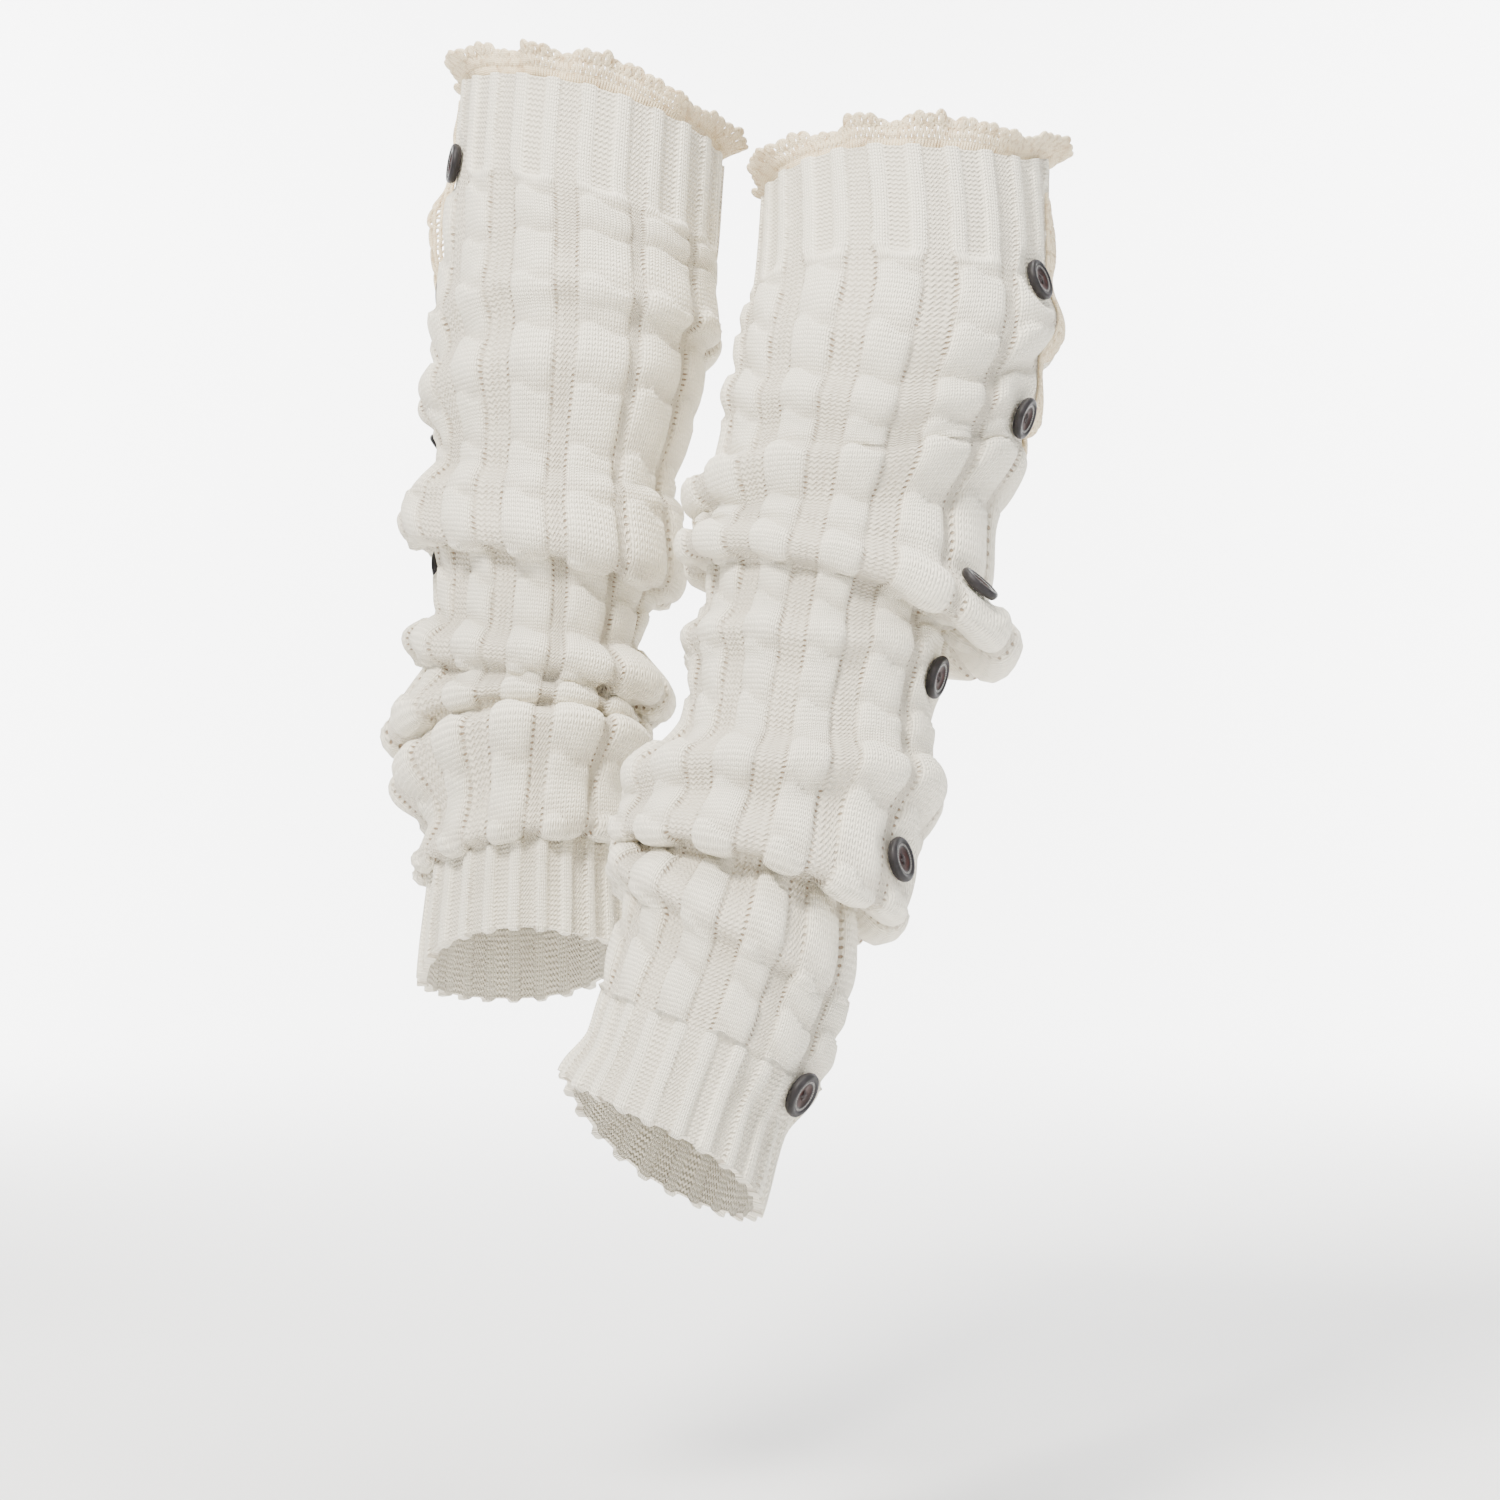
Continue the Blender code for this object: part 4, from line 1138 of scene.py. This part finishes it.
    surface = t.math("SUBTRACT", height.outputs[0], t.math("MULTIPLY", hole, 1.2))
    surface = t.math("ADD", surface, t.math("MULTIPLY", yarn.outputs["Height"], 0.22))
    t.finish(
        shader, colour, surface, 0.8, 0.0011, Specular_IOR_Level=0.15, Sheen_Weight=0.25,
        Sheen_Roughness=0.6,
    )
    return material


def lace_material(settings, fuzz):
    """Crochet cord from its UV map: winding plies with painted shade in the grooves between them.

    Patches of painted shade on the cord stand for the shaded openings of a dense stitch.
    """
    material, t, shader = new_material("ecru_lace", settings.colour, 0.88)
    _, round_cord, along_cord = t.fabric()
    wind = t.math("ADD", round_cord, t.math("MULTIPLY", along_cord, 0.55))
    ply = t.math("ABSOLUTE", t.math("SINE", t.math("MULTIPLY", wind, 2 * math.pi)))
    yarn = t.yarn(fuzz, settings.colour, 0.30)
    # painted shade: grooves and opening patches mix the cord towards a darker tone of it
    groove = t.ramp(ply, 0.0, 0.6, 0.62, 0.0)
    deep = tuple(c * share for c, share in zip(settings.colour, (0.62, 0.50, 0.38)))
    opening_shade = t.ramp(t.noise(t.add("TexCoord").outputs["Object"], 330, 1), 0.50, 0.68, 0.0, 0.55)
    colour = t.mix(groove, yarn.outputs["Colour"], (*deep, 1))
    colour = t.mix(opening_shade, colour, (*deep, 1))
    height = t.math("ADD", ply, t.math("MULTIPLY", yarn.outputs["Height"], 0.4))
    t.finish(shader, colour, height, 0.6, 0.0003, Sheen_Weight=0.2, Specular_IOR_Level=0.2)
    return material


def button_material(settings):
    """Imitation horn: a dark rim, a mottled reddish dish and a ring of pale dashes between them."""
    material, t, shader = new_material("charcoal_button", settings.rim_colour, 0.45)
    zone = t.add("Attribute", attribute_name="zone").outputs["Fac"]
    turn = t.add("Attribute", attribute_name="turn").outputs["Fac"]
    streak = t.noise(t.add("TexCoord").outputs["Object"], 260, 4)
    dish = t.mix(t.ramp(streak, 0.35, 0.7), (*settings.dish_colour, 1),
                 (*[0.4 * c for c in settings.dish_colour], 1))
    rim = t.mix(t.ramp(streak, 0.3, 0.8), (*settings.rim_colour, 1),
                (*[1.9 * c for c in settings.rim_colour], 1))
    in_rim = t.ramp(zone, 0.02, 0.15)
    colour = t.mix(in_rim, dish, rim)
    dash = t.math("SINE", t.math("MULTIPLY", turn, 2 * math.pi * 36))
    dash = t.ramp(dash, -0.5, 0.3)
    dash = t.math("ADD", 0.35, t.math("MULTIPLY", dash, 0.65))
    ring = t.math("MULTIPLY", t.ramp(zone, 0.55, 0.9), dash)
    colour = t.mix(ring, colour, (*settings.inlay_colour, 1))
    roughness = t.ramp(streak, 0.2, 0.8, 0.38, 0.58)
    t.finish(
        shader, colour, streak, 0.25, 0.0003, Roughness=roughness, Specular_IOR_Level=0.22
    )
    return material


def thread_material(fuzz):
    """Dark sewing thread."""
    colour = (0.05, 0.04, 0.04)
    material, t, shader = new_material("dark_thread", colour, 0.8)
    yarn = t.yarn(fuzz, colour, 0.3)
    t.finish(shader, yarn.outputs["Colour"], yarn.outputs["Height"], 0.5, 0.0002)
    return material


def floor_material(settings):
    """Pale matt floor with a faint mottle."""
    material, t, shader = new_material("pale_floor", settings.floor_colour, 0.9)
    mottle = t.noise(t.add("TexCoord").outputs["Object"], 3, 1)
    pale = (*settings.floor_colour, 1)
    soft = (*[0.985 * c for c in settings.floor_colour], 1)
    t.feed(shader.inputs["Base Color"], t.mix(mottle, pale, soft))
    shader.inputs["Specular IOR Level"].default_value = 0.1
    return material


def finish_named(name, make):
    """The finish of that name, made the first time that it is asked for."""
    return bpy.data.materials.get(name) or make()


def fuzz_group():
    """The yarn group that the yarns share, made the first time that it is asked for."""
    return bpy.data.node_groups.get("Yarn Fuzz") or yarn_group()


# --- operators ------------------------------------------------------------------------------


class BOOTCUFF_OT_knitting(Operator):
    """Knit both tubes: a ribbed top band, a cabled leg in its folds and a ribbed ankle band"""

    bl_idname = "bootcuff.knitting"
    bl_label = "Knitted Tubes"

    def execute(self, context):
        settings = context.scene.boot_cuff_knit
        material = finish_named("cream_knit", lambda: knit_material(settings, fuzz_group()))
        for cuff in CUFFS:
            names = [ring.name for ring in cuff.rings]
            top, ankle, last = names.index("band_end"), names.index("band_start"), len(names) - 1
            stretches = (("top_band", 0, top, 34), ("leg", top, ankle, 236),
                         ("ankle_band", ankle, last, 34))
            for (stretch, first, end, count), flat in zip(stretches, KNIT_FLATS[cuff.name]):
                piece = tube_piece(cuff, stretch, first, end, count, material, settings)
        return {"FINISHED"}


class BOOTCUFF_OT_lace(Operator):
    """Crochet the ruffle at each top edge and the strip down each outer side"""

    bl_idname = "bootcuff.lace"
    bl_label = "Lace"

    def execute(self, context):
        settings = context.scene.boot_cuff_lace
        material = finish_named("ecru_lace", lambda: lace_material(settings, fuzz_group()))
        for cuff in CUFFS:
            piece = lace_piece(
                cuff, "top_lace", ruffle_surface(cuff), settings.repeats, True, material, settings
            )
            piece = lace_piece(
                cuff, "side_lace", strip_surface(cuff), settings.strip_repeats, False, material,
                settings,
            )
        return {"FINISHED"}


class BOOTCUFF_OT_buttons(Operator):
    """Turn the buttons and sew them on in their row down each outer side"""

    bl_idname = "bootcuff.buttons"
    bl_label = "Buttons"

    def execute(self, context):
        settings = context.scene.boot_cuff_button
        material = finish_named("charcoal_button", lambda: button_material(settings))
        thread = finish_named("dark_thread", lambda: thread_material(fuzz_group()))
        for cuff in CUFFS:
            for number in range(1, len(cuff.buttons) + 1):
                button_piece(cuff, number, material, thread, settings)
        return {"FINISHED"}


def backdrop_mesh(low):
    """A floor that curves up into a backdrop: a quarter circle between two flats, in metres."""
    turn = np.linspace(0, math.pi / 2, 24)
    bow, depth = 1.2, 2.2
    y = np.concatenate([[-3.5], depth + bow * np.sin(turn), [depth + bow]])
    z = np.concatenate([[low], low + bow * (1 - np.cos(turn)), [low + 4.5]])
    x = np.linspace(-5, 5, 3)
    grid = np.stack([x[None, :] + 0 * y[:, None], y[:, None] + 0 * x, z[:, None] + 0 * x], -1)
    rows, columns = grid.shape[:2]
    i, j = np.meshgrid(np.arange(rows - 1), np.arange(columns - 1), indexing="ij")
    a = (i * columns + j).ravel()
    return make_mesh("floor", grid / MM, np.stack([a, a + 1, a + columns + 1, a + columns], 1))


def add_lamp(collection, lamp, light):
    """A square area light that faces its goal."""
    data = bpy.data.lights.new(lamp.name, "AREA")
    data.shape, data.size = "SQUARE", lamp.size
    data.energy, data.color = lamp.power * light, lamp.colour
    made = bpy.data.objects.new(lamp.name, data)
    made.location = lamp.spot
    way = Vector(lamp.goal) - Vector(lamp.spot)
    made.rotation_euler = way.to_track_quat("-Z", "Y").to_euler()
    collection.objects.link(made)


class BOOTCUFF_OT_stage(Operator):
    """Set up the pale floor and backdrop, the soft lights and the camera"""

    bl_idname = "bootcuff.stage"
    bl_label = "Stage"

    def execute(self, context):
        settings, collection = context.scene.boot_cuff_stage, context.scene.collection
        mesh = backdrop_mesh(CAD_BOX[0][2] - settings.floor_drop)
        mesh.materials.append(finish_named("pale_floor", lambda: floor_material(settings)))
        floor = bpy.data.objects.new("floor", mesh)
        collection.objects.link(floor)

        world = bpy.data.worlds.new("soft_studio")
        world.use_nodes = True
        back = world.node_tree.nodes["Background"]
        back.inputs["Color"].default_value = (1.0, 1.0, 1.0, 1)
        back.inputs["Strength"].default_value = WORLD_SHARE * settings.light
        context.scene.world = world
        for lamp in LAMPS:
            add_lamp(collection, lamp, settings.light)

        data = bpy.data.cameras.new("camera")
        data.lens, data.sensor_width = settings.lens, SENSOR
        data.clip_start, data.clip_end = 0.05, 30
        camera = bpy.data.objects.new("camera", data)
        camera.location = CAMERA_AT
        camera.rotation_euler = (math.pi / 2, 0, 0)
        collection.objects.link(camera)
        context.scene.camera = camera
        return {"FINISHED"}


class BOOTCUFF_PT_panel(Panel):
    """The cuffs' settings and the steps that make them"""

    bl_idname = "BOOTCUFF_PT_panel"
    bl_label = "Knitted Boot Cuffs"
    bl_space_type = "VIEW_3D"
    bl_region_type = "UI"
    bl_category = "Boot Cuffs"

    def draw(self, context):
        scene = context.scene
        for title, group, operator in (
            ("Knitting", scene.boot_cuff_knit, BOOTCUFF_OT_knitting),
            ("Lace", scene.boot_cuff_lace, BOOTCUFF_OT_lace),
            ("Buttons", scene.boot_cuff_button, BOOTCUFF_OT_buttons),
            ("Stage", scene.boot_cuff_stage, BOOTCUFF_OT_stage),
        ):
            box = self.layout.box()
            box.label(text=title)
            for name in group.__annotations__:
                box.prop(group, name)
            box.operator(operator.bl_idname)


CLASSES = (
    KnitSettings, LaceSettings, ButtonSettings, StageSettings, BOOTCUFF_OT_knitting,
    BOOTCUFF_OT_lace, BOOTCUFF_OT_buttons, BOOTCUFF_OT_stage, BOOTCUFF_PT_panel,
)
GROUPS = {
    "boot_cuff_knit": KnitSettings, "boot_cuff_lace": LaceSettings,
    "boot_cuff_button": ButtonSettings, "boot_cuff_stage": StageSettings,
}


def register():
    for cls in CLASSES:
        bpy.utils.register_class(cls)
    for name, cls in GROUPS.items():
        setattr(bpy.types.Scene, name, PointerProperty(type=cls))


def unregister():
    for name in GROUPS:
        delattr(bpy.types.Scene, name)
    for cls in reversed(CLASSES):
        bpy.utils.unregister_class(cls)


def main():
    register()
    bpy.ops.bootcuff.stage()
    bpy.ops.bootcuff.knitting()
    bpy.ops.bootcuff.lace()
    bpy.ops.bootcuff.buttons()


if __name__ == "__main__":
    main()
